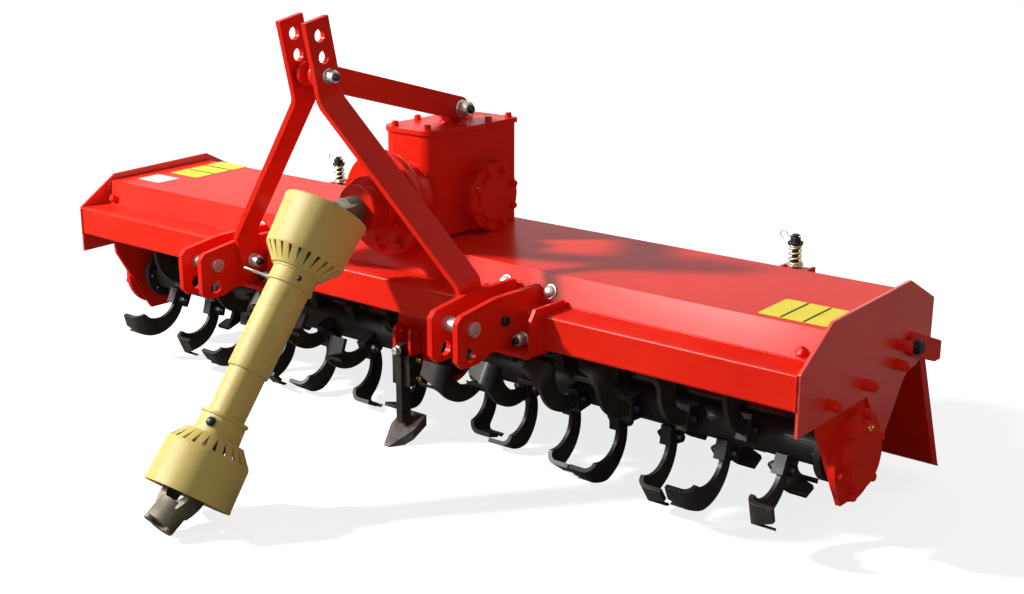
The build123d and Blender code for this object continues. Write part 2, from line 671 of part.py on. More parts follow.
with BuildPart() as rod_bracket_right:
    with BuildSketch(Plane.XY.offset(up(bracket_up))):
        with Locations((rod_side, back((slope_foot[0] + slip + bracket_rear) / 2))):
            Rectangle(2 * bracket_half, bracket_rear - slope_foot[0] - slip)
        with Locations((rod_side, back((slot_front + slot_rear) / 2))):
            SlotOverall(slot_rear - slot_front, 2 * rod_radius + slot_play, rotation=90, mode=Mode.SUBTRACT)
    extrude(amount=bracket_t)
    for side in (1, -1):
        with BuildSketch(Plane.YZ.offset(rod_side + side * bracket_half)):
            with BuildLine():
                Polyline([
                    (back(slope_foot[0]) + slip, up(cheek_foot)), (back(slope_foot[0]) + slip, up(cheek_top)),
                    (back(bracket_rear), up(cheek_top)), (back(bracket_rear), up(cheek_tip)),
                ], close=True)
            make_face()
        extrude(amount=-side * bracket_t)

with BuildPart() as spring_rod_right:
    with BuildSketch(rod_frame):
        Circle(rod_radius)
    extrude(amount=rod_length)
    with BuildSketch(rod_frame.offset(rod_length - nut_seat)):
        RegularPolygon(nut_radius, 6)
    extrude(amount=nut_t)
    with BuildSketch(rod_frame.offset(rod_length - nut_seat - washer_t)):
        Circle(spring_radius + washer_lap)
    extrude(amount=washer_t)
    for reach, radius in ((eye_half, eye_radius), (eye_half + slip + ear_sheet + eye_pin_end, eye_pin)):
        with BuildSketch(Plane.YZ.offset(rod_side - reach)):
            with Locations((back(rod_eye[0]), up(rod_eye[1]))):
                Circle(radius)
        extrude(amount=2 * reach)

with BuildPart() as rod_spring_right:
    with BuildSketch(rod_frame.offset(spring_foot)):
        Circle(spring_radius)
        Circle(rod_radius + 2, mode=Mode.SUBTRACT)
    extrude(amount=rod_length - nut_seat - washer_t - slip - spring_foot)

for source, name in ((board_pivot_right, "board_pivots"), (rod_bracket_right, "rod_brackets"),
                     (spring_rod_right, "spring_rods"), (rod_spring_right, "rod_springs")):
    with BuildPart() as pair:
        add(source.part)
        add(mirror(source.part, about=Plane.YZ, mode=Mode.PRIVATE))
    save(pair, name)

# ---------------------------------------------------------------- drive shaft with two universal joints
knuckle_back = -116.0                       # middle of the upper joint, in front of the beam
slant = 38.0                                # degrees between the parked drive shaft and the vertical
end_hub_radius, end_hub_end, end_droop = 31.0, 100.0, 33.0
# the tractor-side yoke leans down until the mouth of its hub rests on the floor
lower_joint_z = end_hub_end * sin(radians(end_droop)) + end_hub_radius * cos(radians(end_droop))
knuckle_gap = (up(input_height) - lower_joint_z) / cos(radians(slant))
fork_inner, fork_outer, fork_arm = 27.0, 41.0, 18.0
fork_depth, fork_base, fork_turn = 54.0, 12.0, 24.0
hub_radius, hub_end = 28.0, 86.0
cap_radius, cross_radius = 13.4, 10.0
tube_outer, tube_inner, bar_radius = 28.0, 24.0, 23.5
tube_end, bar_start = 405.0, 190.0
pto_radius = 17.4

upper_joint = Vector(0, back(knuckle_back), up(input_height))
along = Vector(0, -sin(radians(slant)), -cos(radians(slant)))
across = Vector(0, cos(radians(slant)), -sin(radians(slant)))
lower_joint = upper_joint + along * knuckle_gap
shaft_frame = Plane(origin=upper_joint, x_dir=(1, 0, 0), z_dir=along)


def make_fork(hub, reach, bore=0.0):
    """Forged fork with its cross centre at the origin, pins along x and hub along z."""
    neck = fork_depth + fork_base
    with BuildPart() as fork:
        with BuildSketch(Plane.XZ.offset(-fork_arm)):
            with BuildLine():
                for side in (1, -1):
                    Polyline([(side * fork_inner, fork_depth - fork_inner), (side * fork_inner, -fork_arm),
                              (side * fork_outer, -fork_arm), (side * fork_outer, fork_turn)])
                    ThreePointArc((side * fork_outer, fork_turn),
                                  (side * ((fork_outer + hub) / 2 + 3), (fork_turn + neck) / 2 + 1),
                                  (side * hub, neck))
                ThreePointArc((fork_inner, fork_depth - fork_inner), (0, fork_depth),
                              (-fork_inner, fork_depth - fork_inner))
                Line((hub, neck), (-hub, neck))
            make_face()
        extrude(amount=2 * fork_arm)
        with BuildSketch(Plane.YZ.offset(-fork_outer)):
            Circle(fork_arm)
            with Locations((0, neck / 2)):
                Rectangle(2 * fork_arm, neck)
        extrude(amount=2 * fork_outer, mode=Mode.INTERSECT)
        with BuildSketch(Plane.XY.offset(fork_depth)):
            Circle(hub)
        extrude(amount=reach - fork_depth)
        with BuildSketch(Plane.YZ.offset(-fork_outer)):
            Circle(cap_radius + slip)
        extrude(amount=2 * fork_outer, mode=Mode.SUBTRACT)
        if bore:
            with BuildSketch(Plane.XY.offset(fork_depth / 2)):
                Circle(bore)
            extrude(amount=reach - fork_depth / 2, mode=Mode.SUBTRACT)
    return fork.part


def make_cross():
    """Cross of a universal joint with its arms along x and y."""
    with BuildPart() as cross:
        Box(26, 26, 24)
        for plane in (Plane.YZ, Plane.XZ):
            with BuildSketch(plane.offset(-fork_inner)):
                Circle(cross_radius)
            extrude(amount=2 * fork_inner)
            for side in (1, -1):
                with BuildSketch(plane.offset(side * fork_inner)):
                    Circle(cap_radius)
                extrude(amount=side * (fork_outer - fork_inner - 2))
    return cross.part


def make_turned(profile):
    """Turned piece from radius and height pairs, about z."""
    with BuildPart() as piece:
        with BuildSketch(Plane.XZ):
            with BuildLine():
                Polyline(profile, close=True)
            make_face()
        revolve(axis=Axis.Z)
    return piece.part


fork = make_fork(hub_radius, hub_end)
cross = make_cross()

with BuildPart() as input_yoke:
    with Locations(Plane(origin=upper_joint, x_dir=(1, 0, 0), z_dir=(0, 1, 0))):
        add(make_fork(hub_radius, -26 - slip - knuckle_back))
save(input_yoke, "input_yoke")

for name, centre in (("cross_upper", upper_joint), ("cross_lower", lower_joint)):
    with BuildPart() as placed:
        with Locations(Plane(origin=centre, x_dir=(1, 0, 0), z_dir=along)):
            add(cross)
    save(placed, name)

with BuildPart() as shaft_tube:
    with Locations(Plane(origin=upper_joint, x_dir=across, z_dir=along)):
        add(fork)
        with Locations((0, 0, (hub_end + tube_end) / 2)):
            Cylinder(radius=tube_outer, height=tube_end - hub_end)
            Cylinder(radius=tube_inner, height=tube_end - hub_end, mode=Mode.SUBTRACT)
save(shaft_tube, "shaft_tube")

with BuildPart() as shaft_bar:
    with Locations(Plane(origin=lower_joint, x_dir=across, z_dir=-along)):
        add(fork)
        with Locations((0, 0, (hub_end + knuckle_gap - bar_start) / 2)):
            Cylinder(radius=bar_radius, height=knuckle_gap - bar_start - hub_end)
save(shaft_bar, "shaft_bar")

# plastic guards: an outer tube with a cone above, an inner tube with a cone below
upper_guard = [
    (86, -13), (80, 90), (52, 123), (46, 123), (46, 157), (42, 157), (42, 339), (39, 339),
    (39, 157), (tube_outer + slip, 157), (tube_outer + slip, 123), (49, 119), (77, 87), (83, -13),
]
lower_guard = [
    (37, 186), (37, 434), (42, 434), (42, 477), (59, 477), (83, 508), (86, 597), (83, 597),
    (80, 511), (57, 481), (bar_radius + slip, 477), (bar_radius + slip, 434), (34, 434), (34, 186),
]
for name, profile in (("guard_upper", upper_guard), ("guard_lower", lower_guard)):
    with BuildPart() as placed:
        with Locations(shaft_frame):
            add(make_turned(profile))
    save(placed, name)

with BuildPart() as end_yoke:
    droop = radians(end_droop)
    with Locations(Plane(origin=lower_joint, x_dir=(1, 0, 0), z_dir=(0, -cos(droop), -sin(droop)))):
        add(make_fork(end_hub_radius, end_hub_end, pto_radius))
save(end_yoke, "end_yoke")
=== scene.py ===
import math
import bmesh
import bpy
from mathutils import Matrix, Vector


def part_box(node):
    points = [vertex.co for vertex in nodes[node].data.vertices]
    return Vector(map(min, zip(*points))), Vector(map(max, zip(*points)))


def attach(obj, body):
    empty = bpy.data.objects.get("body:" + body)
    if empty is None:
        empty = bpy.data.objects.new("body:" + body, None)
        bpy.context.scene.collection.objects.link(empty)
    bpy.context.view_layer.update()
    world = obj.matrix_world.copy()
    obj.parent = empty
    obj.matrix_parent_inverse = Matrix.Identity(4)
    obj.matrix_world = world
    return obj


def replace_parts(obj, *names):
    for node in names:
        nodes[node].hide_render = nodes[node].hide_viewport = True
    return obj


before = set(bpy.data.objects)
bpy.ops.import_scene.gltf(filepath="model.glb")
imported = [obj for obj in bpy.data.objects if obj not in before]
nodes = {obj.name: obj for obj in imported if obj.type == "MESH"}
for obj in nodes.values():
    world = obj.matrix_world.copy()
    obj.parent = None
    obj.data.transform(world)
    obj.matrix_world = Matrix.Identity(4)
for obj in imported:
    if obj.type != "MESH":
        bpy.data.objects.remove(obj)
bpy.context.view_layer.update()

beamLow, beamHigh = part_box("front_beam")
print("tiller: frame loaded,", len(nodes), "nodes")


def at(across, behind, above):
    # metres from the top front edge of the beam, in the machine's middle
    return Vector((across, beamLow.y + behind, beamHigh.z + above))


def linearColour(hexCode):
    channels = [int(hexCode[i:i + 2], 16) / 255 for i in (1, 3, 5)]
    return tuple(c / 12.92 if c <= 0.04045 else ((c + 0.055) / 1.055) ** 2.4 for c in channels) + (1.0,)


def addNode(tree, kind, sockets=None, **settings):
    node = tree.nodes.new(kind)
    for key, value in settings.items():
        setattr(node, key, value)
    for key, value in (sockets or {}).items():
        if isinstance(value, bpy.types.NodeSocket):
            tree.links.new(value, node.inputs[key])
        else:
            node.inputs[key].default_value = value
    return node


def newMaterial(name):
    material = bpy.data.materials.new(name)
    material.use_nodes = True
    tree = material.node_tree
    tree.nodes.clear()
    return material, tree


# what the finishes of each kind share; a noise is its scale in crests a metre, its detail and its roughness, or
# only the last two where each finish has a scale of its own
edgeSamples = 4
paintGrain = {
    "fade": (4.0, 0.5), "fadeFrom": 0.35, "fadeTo": 0.7,
    # dust lies in clouds, and less of it where the surface is steep
    "dust": (9.0, 0.68), "dustFrom": 0.42, "dustTo": 0.78, "steepest": -0.4, "dustFull": 0.6, "dustedRoughness": 0.75,
    # chips about 11 mm apart, where a rounded normal leaves the true one
    "chips": (90.0, 6.0, 0.75), "chipBand": 0.05, "edgeFrom": 0.97, "edgeTo": 0.8,
    # orange peel of sprayed paint, 3 mm from crest to crest, on waves of 70 mm
    "peel": (330.0, 2.0, 0.5), "wave": (14.0, 2.0, 0.5), "waveShare": 5.0, "peelHeight": 0.0006,
    "coatRoughness": 0.15,
}
# the grain of plating and forging is drawn coarser than it is, about 2 mm, so that it shows
metalGrain = {
    "blotch": (6.0, 0.6), "grain": (5.0, 0.6), "blotchFrom": 0.35, "blotchTo": 0.7, "smoother": 0.1, "rougher": 0.15,
    "edgeRadius": 0.0012, "grainHeight": 0.001,
}


def startMaterial(name, edgeRadius, noises):
    # the nodes that each finish starts with: its noises, and a normal that is rounded over the edges
    material, tree = newMaterial(name)
    place = addNode(tree, "ShaderNodeTexCoord").outputs["Object"]
    levels = [addNode(tree, "ShaderNodeTexNoise", {
        "Vector": place, "Scale": scale, "Detail": detail, "Roughness": roughness}).outputs["Fac"]
        for scale, detail, roughness in noises]
    rounded = addNode(tree, "ShaderNodeBevel", {"Radius": edgeRadius}, samples=edgeSamples).outputs["Normal"]
    return material, tree, levels, rounded


def endMaterial(tree, hexCode, layers, rounded, relief, sockets):
    # the nodes that each finish ends with: colours that cover the first by their shares, a relief, the shader
    colour = linearColour(hexCode)
    for share, layerCode in layers:
        colour = addNode(tree, "ShaderNodeMix", {
            "Factor": share, "A": colour, "B": linearColour(layerCode)}, data_type="RGBA").outputs[2]
    height, strength, depth = relief
    bump = addNode(tree, "ShaderNodeBump", {
        "Height": height, "Strength": strength, "Distance": depth, "Normal": rounded})
    shader = addNode(tree, "ShaderNodeBsdfPrincipled", {
        **sockets, "Base Color": colour, "Normal": bump.outputs["Normal"]})
    addNode(tree, "ShaderNodeOutputMaterial", {"Surface": shader.outputs["BSDF"]})


def paintMaterial(name, look):
    # enamel or primer over steel: fading, dust on what faces up, chips along the edges, orange peel
    grain = paintGrain
    material, tree, (fade, cloud, speck, peel, wave), rounded = startMaterial(name, look["edgeRadius"], (
        (look["fadeScale"], *grain["fade"]), (look["dustScale"], *grain["dust"]),
        grain["chips"], grain["peel"], grain["wave"]))
    faded = addNode(tree, "ShaderNodeMapRange", {
        "Value": fade, "From Min": grain["fadeFrom"], "From Max": grain["fadeTo"]})
    normal = addNode(tree, "ShaderNodeNewGeometry")
    upward = addNode(tree, "ShaderNodeSeparateXYZ", {"Vector": normal.outputs["Normal"]})
    facing = addNode(tree, "ShaderNodeMapRange", {
        "Value": upward.outputs["Z"], "From Min": grain["steepest"], "From Max": 1.0,
        "To Min": look["dustSides"], "To Max": 1.0})
    patches = addNode(tree, "ShaderNodeMapRange", {
        "Value": cloud, "From Min": grain["dustFrom"], "From Max": grain["dustTo"], "To Max": look["dust"]})
    dust = addNode(tree, "ShaderNodeMath", {0: facing.outputs["Result"], 1: patches.outputs["Result"]},
                   operation="MULTIPLY")
    agreement = addNode(tree, "ShaderNodeVectorMath", {0: rounded, 1: normal.outputs["True Normal"]},
                        operation="DOT_PRODUCT")
    edge = addNode(tree, "ShaderNodeMapRange", {
        "Value": agreement.outputs["Value"], "From Min": grain["edgeFrom"], "From Max": grain["edgeTo"]})
    chipped = addNode(tree, "ShaderNodeMapRange", {
        "Value": speck, "From Min": look["chipFrom"], "From Max": look["chipFrom"] + grain["chipBand"]})
    chips = addNode(tree, "ShaderNodeMath", {0: edge.outputs["Result"], 1: chipped.outputs["Result"]},
                    operation="MULTIPLY")
    layers = ((faded.outputs["Result"], look["main"]), (dust.outputs[0], look["dustColour"]),
              (chips.outputs[0], look["bare"]))
    height = addNode(tree, "ShaderNodeMath", {0: wave, 1: grain["waveShare"], 2: peel}, operation="MULTIPLY_ADD")
    rough = addNode(tree, "ShaderNodeMapRange", {
        "Value": dust.outputs[0], "From Max": grain["dustFull"], "To Min": look["roughness"],
        "To Max": grain["dustedRoughness"]})
    relief = (height.outputs[0], look["bump"], grain["peelHeight"])
    endMaterial(tree, look["deep"], layers, rounded, relief, {
        "Roughness": rough.outputs["Result"], "IOR": 1.5, "Specular IOR Level": look["specular"],
        "Coat Weight": look["coat"], "Coat Roughness": grain["coatRoughness"]})
    return material


def metalMaterial(name, look):
    # plated, forged or soil-polished steel: blotches of tarnish and a fine grain
    grain = metalGrain
    material, tree, (blotch, fine), rounded = startMaterial(name, grain["edgeRadius"], (
        (look["blotchScale"], *grain["blotch"]), (look["grainScale"], *grain["grain"])))
    tarnished = addNode(tree, "ShaderNodeMapRange", {
        "Value": blotch, "From Min": grain["blotchFrom"], "From Max": grain["blotchTo"]})
    rough = addNode(tree, "ShaderNodeMapRange", {
        "Value": blotch, "To Min": look["roughness"] - grain["smoother"],
        "To Max": look["roughness"] + grain["rougher"]})
    layers = [(tarnished.outputs["Result"], look["tarnish"])]
    endMaterial(tree, look["main"], layers, rounded, (fine, look["bump"], grain["grainHeight"]), {
        "Metallic": look["metallic"], "Roughness": rough.outputs["Result"]})
    return material


def plasticMaterial(name, look):
    # injection-moulded polyethylene: a soft milky tone that drifts, with grime in patches
    material, tree, (tone, grime, skin), rounded = startMaterial(
        name, look["edgeRadius"], (look["toneNoise"], look["grimeNoise"], look["skinNoise"]))
    grimy = addNode(tree, "ShaderNodeMapRange", {
        "Value": grime, "From Min": look["grimeFrom"], "From Max": look["grimeTo"], "To Max": look["grime"]})
    layers = ((tone, look["deep"]), (grimy.outputs["Result"], look["grimeColour"]))
    endMaterial(tree, look["main"], layers, rounded, (skin, look["bump"], look["skinHeight"]), {
        "Roughness": look["roughness"], "IOR": 1.5, "Specular IOR Level": look["specular"],
        "Subsurface Weight": look["milky"], "Subsurface Scale": look["milkyDepth"]})
    return material


# alkyd enamel sprayed on steel: a clean saturated red, even and only a little glossy
enamel = {
    "main": "#EE2812", "deep": "#DC1E0E", "bare": "#7A2A20", "dustColour": "#D08A72",
    "fadeScale": 3.0, "dustScale": 9.0, "dust": 0.07, "dustSides": 0.15, "edgeRadius": 0.0018,
    "chipFrom": 0.56, "roughness": 0.3, "coat": 0.05, "specular": 0.06, "bump": 0.12}
redEnamel = paintMaterial("red_alkyd_enamel", enamel)
# the same enamel on the end plates, which mirrors more of the sky, with a little more pale dust on steep faces; the
# extra dust is painted sheen that makes the plates paler in shade
sheenEnamel = paintMaterial("red_enamel_polished", {
    **enamel, "dust": 0.1, "dustSides": 0.3, "roughness": 0.36, "coat": 0.2, "specular": 1.0})
# thin black stoving paint on forged blades and rotor tube, scuffed and dusty
blackPaint = paintMaterial("black_stoved_paint", {
    "main": "#2B2826", "deep": "#1E1C1B", "bare": "#7C7268", "dustColour": "#6B5A4A",
    "fadeScale": 9.0, "dustScale": 22.0, "dust": 0.35, "dustSides": 0.5, "edgeRadius": 0.0015,
    "chipFrom": 0.5, "roughness": 0.5, "coat": 0.03, "specular": 0.22, "bump": 0.35})
# zinc electroplate on bolts and pins: pale, slightly cloudy steel
zincPlate = metalMaterial("zinc_plated_steel", {
    "main": "#D2D2CC", "tarnish": "#9A9992", "blotchScale": 45.0, "grainScale": 500.0,
    "roughness": 0.36, "metallic": 0.75, "bump": 0.1})
# black oxide on high-tensile nuts: dark, with a dull oily sheen
blackOxide = metalMaterial("black_oxide_steel", {
    "main": "#2A2827", "tarnish": "#151413", "blotchScale": 60.0, "grainScale": 600.0,
    "roughness": 0.45, "metallic": 0.6, "bump": 0.15})
# drop-forged yokes with a thin olive phosphate coat: matt and grainy
forgedSteel = metalMaterial("phosphated_forging", {
    "main": "#6A6450", "tarnish": "#3E3A2E", "blotchScale": 25.0, "grainScale": 220.0,
    "roughness": 0.62, "metallic": 0.4, "bump": 0.4})
# steel rubbed bright by soil: grey with brown stains
soilSteel = metalMaterial("soil_polished_steel", {
    "main": "#7C766F", "tarnish": "#4A443F", "blotchScale": 30.0, "grainScale": 260.0,
    "roughness": 0.42, "metallic": 0.8, "bump": 0.25})
# polyethylene of the shaft's guards, with a moulded skin of about 2.4 mm grain
guardPlastic = plasticMaterial("yellow_polyethylene", {
    "main": "#D2BE72", "deep": "#C6B060", "toneNoise": (6.0, 3.0, 0.5),
    "grimeColour": "#8C7A3E", "grimeNoise": (26.0, 10.0, 0.7), "grimeFrom": 0.55, "grimeTo": 0.8, "grime": 0.3,
    "edgeRadius": 0.0015, "skinNoise": (420.0, 3.0, 0.5), "skinHeight": 0.0006, "bump": 0.12,
    "roughness": 0.46, "specular": 0.12, "milky": 0.12, "milkyDepth": 0.004})
# oil-tempered spring wire with a dull yellowed plating
springSteel = metalMaterial("plated_spring_steel", {
    "main": "#D2C49C", "tarnish": "#857A5A", "blotchScale": 120.0, "grainScale": 700.0,
    "roughness": 0.36, "metallic": 1.0, "bump": 0.1})
# brass of the grease nipples, and the bolts plated yellow like it: warm, with brown tarnish
brass = metalMaterial("brass_nipple", {
    "main": "#C9A655", "tarnish": "#8A6E38", "blotchScale": 160.0, "grainScale": 900.0,
    "roughness": 0.34, "metallic": 1.0, "bump": 0.1})
# printed vinyl stickers, left blank: flat, with hardly a chip
vinyl = {
    "main": "#F2E21C", "deep": "#E8D614", "bare": "#F6EFA0", "dustColour": "#D8C08A",
    "fadeScale": 12.0, "dustScale": 30.0, "dust": 0.08, "dustSides": 0.4, "edgeRadius": 0.0002,
    "chipFrom": 0.75, "roughness": 0.4, "coat": 0.05, "specular": 0.2, "bump": 0.05}
yellowSticker = paintMaterial("yellow_vinyl", vinyl)
whiteSticker = paintMaterial("white_vinyl", {
    **vinyl, "main": "#F1EFEC", "deep": "#E4E0DB", "bare": "#F6F2EE", "dustColour": "#CDB8A6", "dust": 0.2,
    "coat": 0.2, "specular": 0.5})
stickerInk = paintMaterial("printed_black_ink", {
    **vinyl, "main": "#2A2723", "deep": "#201E1B", "bare": "#4A453E", "dustColour": "#8A7A60", "dust": 0.15,
    "roughness": 0.5, "coat": 0.0, "specular": 0.05})

# the nodes that aren't in red enamel
nodeFinish = {
    # the end plates take the enamel with the painted sheen
    sheenEnamel: ["end_plate_right", "end_plate_left"],
    blackPaint: ["rotor_right", "rotor_left", "tines_right", "tines_left", "ripper_shank", "rod_springs"],
    zincPlate: ["hitch_pins", "strut_pin_rear"],
    blackOxide: ["board_pivots", "spring_rods"],
    soilSteel: ["ripper_point"],
    guardPlastic: ["guard_upper", "guard_lower"],
    forgedSteel: ["input_yoke", "cross_upper", "cross_lower", "shaft_tube", "shaft_bar", "end_yoke"],
}
finishOf = {name: material for material, names in nodeFinish.items() for name in names}
for name, node in nodes.items():
    node.data.materials.clear()
    node.data.materials.append(finishOf.get(name, redEnamel))
print("tiller: finishes on", len(nodes), "nodes,", len(finishOf), "of them not red")


def placedAt(origin, zAxis, xAxis=(1.0, 0.0, 0.0)):
    # a matrix with its z along one direction and its x as near as can be to another
    zDir = Vector(zAxis).normalized()
    xDir = Vector(xAxis)
    xDir = (xDir - zDir * xDir.dot(zDir)).normalized()
    turn = Matrix((xDir, zDir.cross(xDir), zDir)).transposed().to_4x4()
    return Matrix.Translation(origin) @ turn


def polar(radius, angle, height=0.0):
    return Vector((radius * math.cos(angle), radius * math.sin(angle), height))


def revolved(profile, steps):
    # rings of points from (radius, height) pairs
    return [[polar(radius, math.tau * i / steps, height) for i in range(steps)] for radius, height in profile]


def lofted(rings, capped=True, joined=False):
    # skin over rings with the same number of points; joined closes the last ring onto the first
    points = [point for ring in rings for point in ring]
    count = len(rings[0])
    pairs = [(i, i + 1) for i in range(len(rings) - 1)] + ([(len(rings) - 1, 0)] if joined else [])
    faces = [(low * count + j, low * count + (j + 1) % count, high * count + (j + 1) % count, high * count + j)
             for low, high in pairs for j in range(count)]
    if capped and not joined:
        faces.append(tuple(reversed(range(count))))
        faces.append(tuple(range(len(points) - count, len(points))))
    return points, faces


def swept(path, radius, steps=8):
    # round bar along a list of points; its section starts from a slanting direction, which no path follows
    rings, side = [], Vector((0.31, 0.52, 0.79))
    for i, point in enumerate(path):
        ahead = (path[min(i + 1, len(path) - 1)] - path[max(i - 1, 0)]).normalized()
        side = (side - ahead * side.dot(ahead)).normalized()
        over = ahead.cross(side)
        rings.append([point + side * (radius * math.cos(math.tau * j / steps))
                      + over * (radius * math.sin(math.tau * j / steps)) for j in range(steps)])
    return lofted(rings)


# fine wire: sides of its section, and the angle past which its edges stay sharp
wireSides, wireAngle = 6, 60.0


def roundedPlate(width, height, radius, thickness, steps=5):
    # flat rectangle with round corners about its centre, standing on z = 0
    outline = []
    for turn, (sx, sy) in enumerate(((1, 1), (-1, 1), (-1, -1), (1, -1))):
        corner = Vector((sx * (width / 2 - radius), sy * (height / 2 - radius), 0.0))
        outline += [corner + polar(radius, math.radians(90 * turn + 90 * i / steps)) for i in range(steps + 1)]
    return lofted([outline, [point + Vector((0.0, 0.0, thickness)) for point in outline]])


def shadedSmooth(mesh, sharpAngle=38.0):
    mesh.shade_smooth()
    mesh.set_sharp_from_angle(angle=math.radians(sharpAngle))
    return mesh


def meshOf(name, shapes, material=None, sharpAngle=38.0):
    # shapes: (points, faces) or (points, faces, matrix)
    points, faces = [], []
    for shape in shapes:
        matrix = shape[2] if len(shape) > 2 else Matrix()
        offset = len(points)
        points += [matrix @ point for point in shape[0]]
        faces += [tuple(offset + i for i in face) for face in shape[1]]
    mesh = bpy.data.meshes.new(name)
    mesh.from_pydata(points, [], faces)
    work = bmesh.new()
    work.from_mesh(mesh)
    bmesh.ops.remove_doubles(work, verts=work.verts, dist=1e-6)
    bmesh.ops.recalc_face_normals(work, faces=work.faces)
    work.to_mesh(mesh)
    work.free()
    if material:
        mesh.materials.append(material)
    return shadedSmooth(mesh, sharpAngle)


def newObject(name, data):
    thing = bpy.data.objects.new(name, data)
    bpy.context.scene.collection.objects.link(thing)
    return thing


def rideOn(piece, body):
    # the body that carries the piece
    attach(piece, body)
    return piece


def newPiece(name, shapes, material, body, sharpAngle=38.0):
    return rideOn(newObject(name, meshOf(name, shapes, material, sharpAngle)), body)


def realised(piece):
    # the evaluated mesh in place of the modifiers
    bpy.context.view_layer.update()
    evaluated = piece.evaluated_get(bpy.context.evaluated_depsgraph_get())
    mesh = bpy.data.meshes.new_from_object(evaluated)
    mesh.name = piece.name
    piece.modifiers.clear()
    piece.data = shadedSmooth(mesh)
    return piece


# kits: one of each small part at unit size, 1 across the flats, standing on z = 0

def hexRing(height, across=1.0, roundness=0.0):
    # corners and middles of the flats of a hexagon, drawn in towards a circle
    ring = []
    for i in range(12):
        flat = 0.5 * across
        reach = flat if i % 2 else flat / math.cos(math.pi / 6)
        reach += (flat - reach) * roundness
        ring.append(polar(reach, math.tau * i / 12, height))
    return ring


def washerShape(radius, thickness, rim=0.02):
    return lofted(revolved([(radius - rim, 0.0), (radius, rim), (radius, thickness - rim),
                            (radius - rim, thickness)], 20))


def hexShape(low, high, chamfer=0.09, dip=0.07, crown=0.93):
    # the corners start to round off lower than the flats do
    rings = [hexRing(low), hexRing(high - chamfer), hexRing(high, crown, 1.0)]
    for i in range(0, 12, 2):
        rings[1][i].z -= dip
    return lofted(rings)


def threadShape(radius, low, high, pitch=0.085, depth=0.035, taper=0.05):
    profile, height = [(radius, low)], low
    while height < high - 2 * pitch:
        profile += [(radius - depth, height + pitch / 2), (radius, height + pitch)]
        height += pitch
    profile += [(radius - taper, high - pitch), (radius - 2 * taper, high)]
    return lofted(revolved(profile, 14))


wideWasher = washerShape(0.62, 0.13)
kitShapes = {
    # bolt head on a washer, with the shallow dish that cold heading leaves
    "hexHead": [wideWasher, hexShape(0.12, 0.76),
                lofted(revolved([(0.34, 0.74), (0.34, 0.765), (0.3, 0.75), (0.02, 0.745)], 16))],
    # nut on a washer, the end of the stud, and both together
    "nut": [wideWasher, hexShape(0.12, 0.92)],
    "studEnd": [threadShape(0.31, 0.5, 1.2)],
    "nutAndStud": [wideWasher, hexShape(0.12, 0.92), threadShape(0.31, 0.9, 1.24)],
    # long nut that clamps the bearing plate, its stud nearly flush
    "longNut": [washerShape(0.6, 0.13), hexShape(0.12, 1.3), threadShape(0.32, 1.2, 1.42)],
    # round head on a square neck
    "domeHead": [washerShape(0.6, 0.12), lofted(revolved(
        [(0.5, 0.1), (0.5, 0.22), (0.46, 0.36), (0.36, 0.48), (0.2, 0.55), (0.03, 0.575)], 20))],
    # flat round head
    "plug": [lofted(revolved([(0.5, 0.0), (0.5, 0.44), (0.44, 0.5), (0.03, 0.5)], 20))],
    # plain end of a pressed bearing cap held by a ring
    "bearingCap": [
        lofted(revolved([(0.5, 0.0), (0.5, 0.06), (0.44, 0.1), (0.4, 0.07), (0.3, 0.07), (0.03, 0.05)], 24)),
        lofted(revolved([(0.52, 0.04), (0.56, 0.04), (0.56, 0.09), (0.52, 0.09)], 24), joined=True)],
    # grease nipple: hexagon, neck and ball
    "nipple": [lofted([hexRing(0.0), hexRing(0.5), hexRing(0.55, 0.9, 1.0)]), lofted(revolved(
        [(0.3, 0.5), (0.24, 0.75), (0.24, 0.9), (0.34, 1.02), (0.36, 1.15), (0.26, 1.3), (0.1, 1.34)], 14))],
    # one ripple of a weld
    "ripple": [lofted(revolved([(0.05, -0.5), (0.4, -0.38), (0.5, 0.0), (0.4, 0.38), (0.05, 0.5)], 8))],
}
kits = {name: newObject("kit_" + name, meshOf("kit_" + name, shapes)) for name, shapes in kitShapes.items()}


def treeWithInputs(name, sizes=()):
    # a tree that takes the piece's own points, a kit, a finish and sizes by name
    tree = bpy.data.node_groups.new(name, "GeometryNodeTree")
    kinds = {"Geometry": "NodeSocketGeometry", "Kit": "NodeSocketObject", "Finish": "NodeSocketMaterial"}
    for socket, kind in {**kinds, **dict.fromkeys(sizes, "NodeSocketFloat")}.items():
        tree.interface.new_socket(socket, in_out="INPUT", socket_type=kind)
    tree.interface.new_socket("Geometry", in_out="OUTPUT", socket_type="NodeSocketGeometry")
    return tree, addNode(tree, "NodeGroupInput").outputs


def kitOnPoints(tree, source, points, rotation, scale):
    kit = addNode(tree, "GeometryNodeObjectInfo", {"Object": source["Kit"]})
    placed = addNode(tree, "GeometryNodeInstanceOnPoints", {
        "Points": points, "Instance": kit.outputs["Geometry"], "Rotation": rotation, "Scale": scale})
    solid = addNode(tree, "GeometryNodeRealizeInstances", {"Geometry": placed.outputs["Instances"]})
    painted = addNode(tree, "GeometryNodeSetMaterial", {
        "Geometry": solid.outputs["Geometry"], "Material": source["Finish"]})
    addNode(tree, "NodeGroupOutput", {"Geometry": painted.outputs["Geometry"]})
    return tree


# how far a kit may turn about itself, which is one flat of a hexagon in radians, and how much ripples vary
flatTurn, rippleSpread = 1.05, (0.82, 1.12)


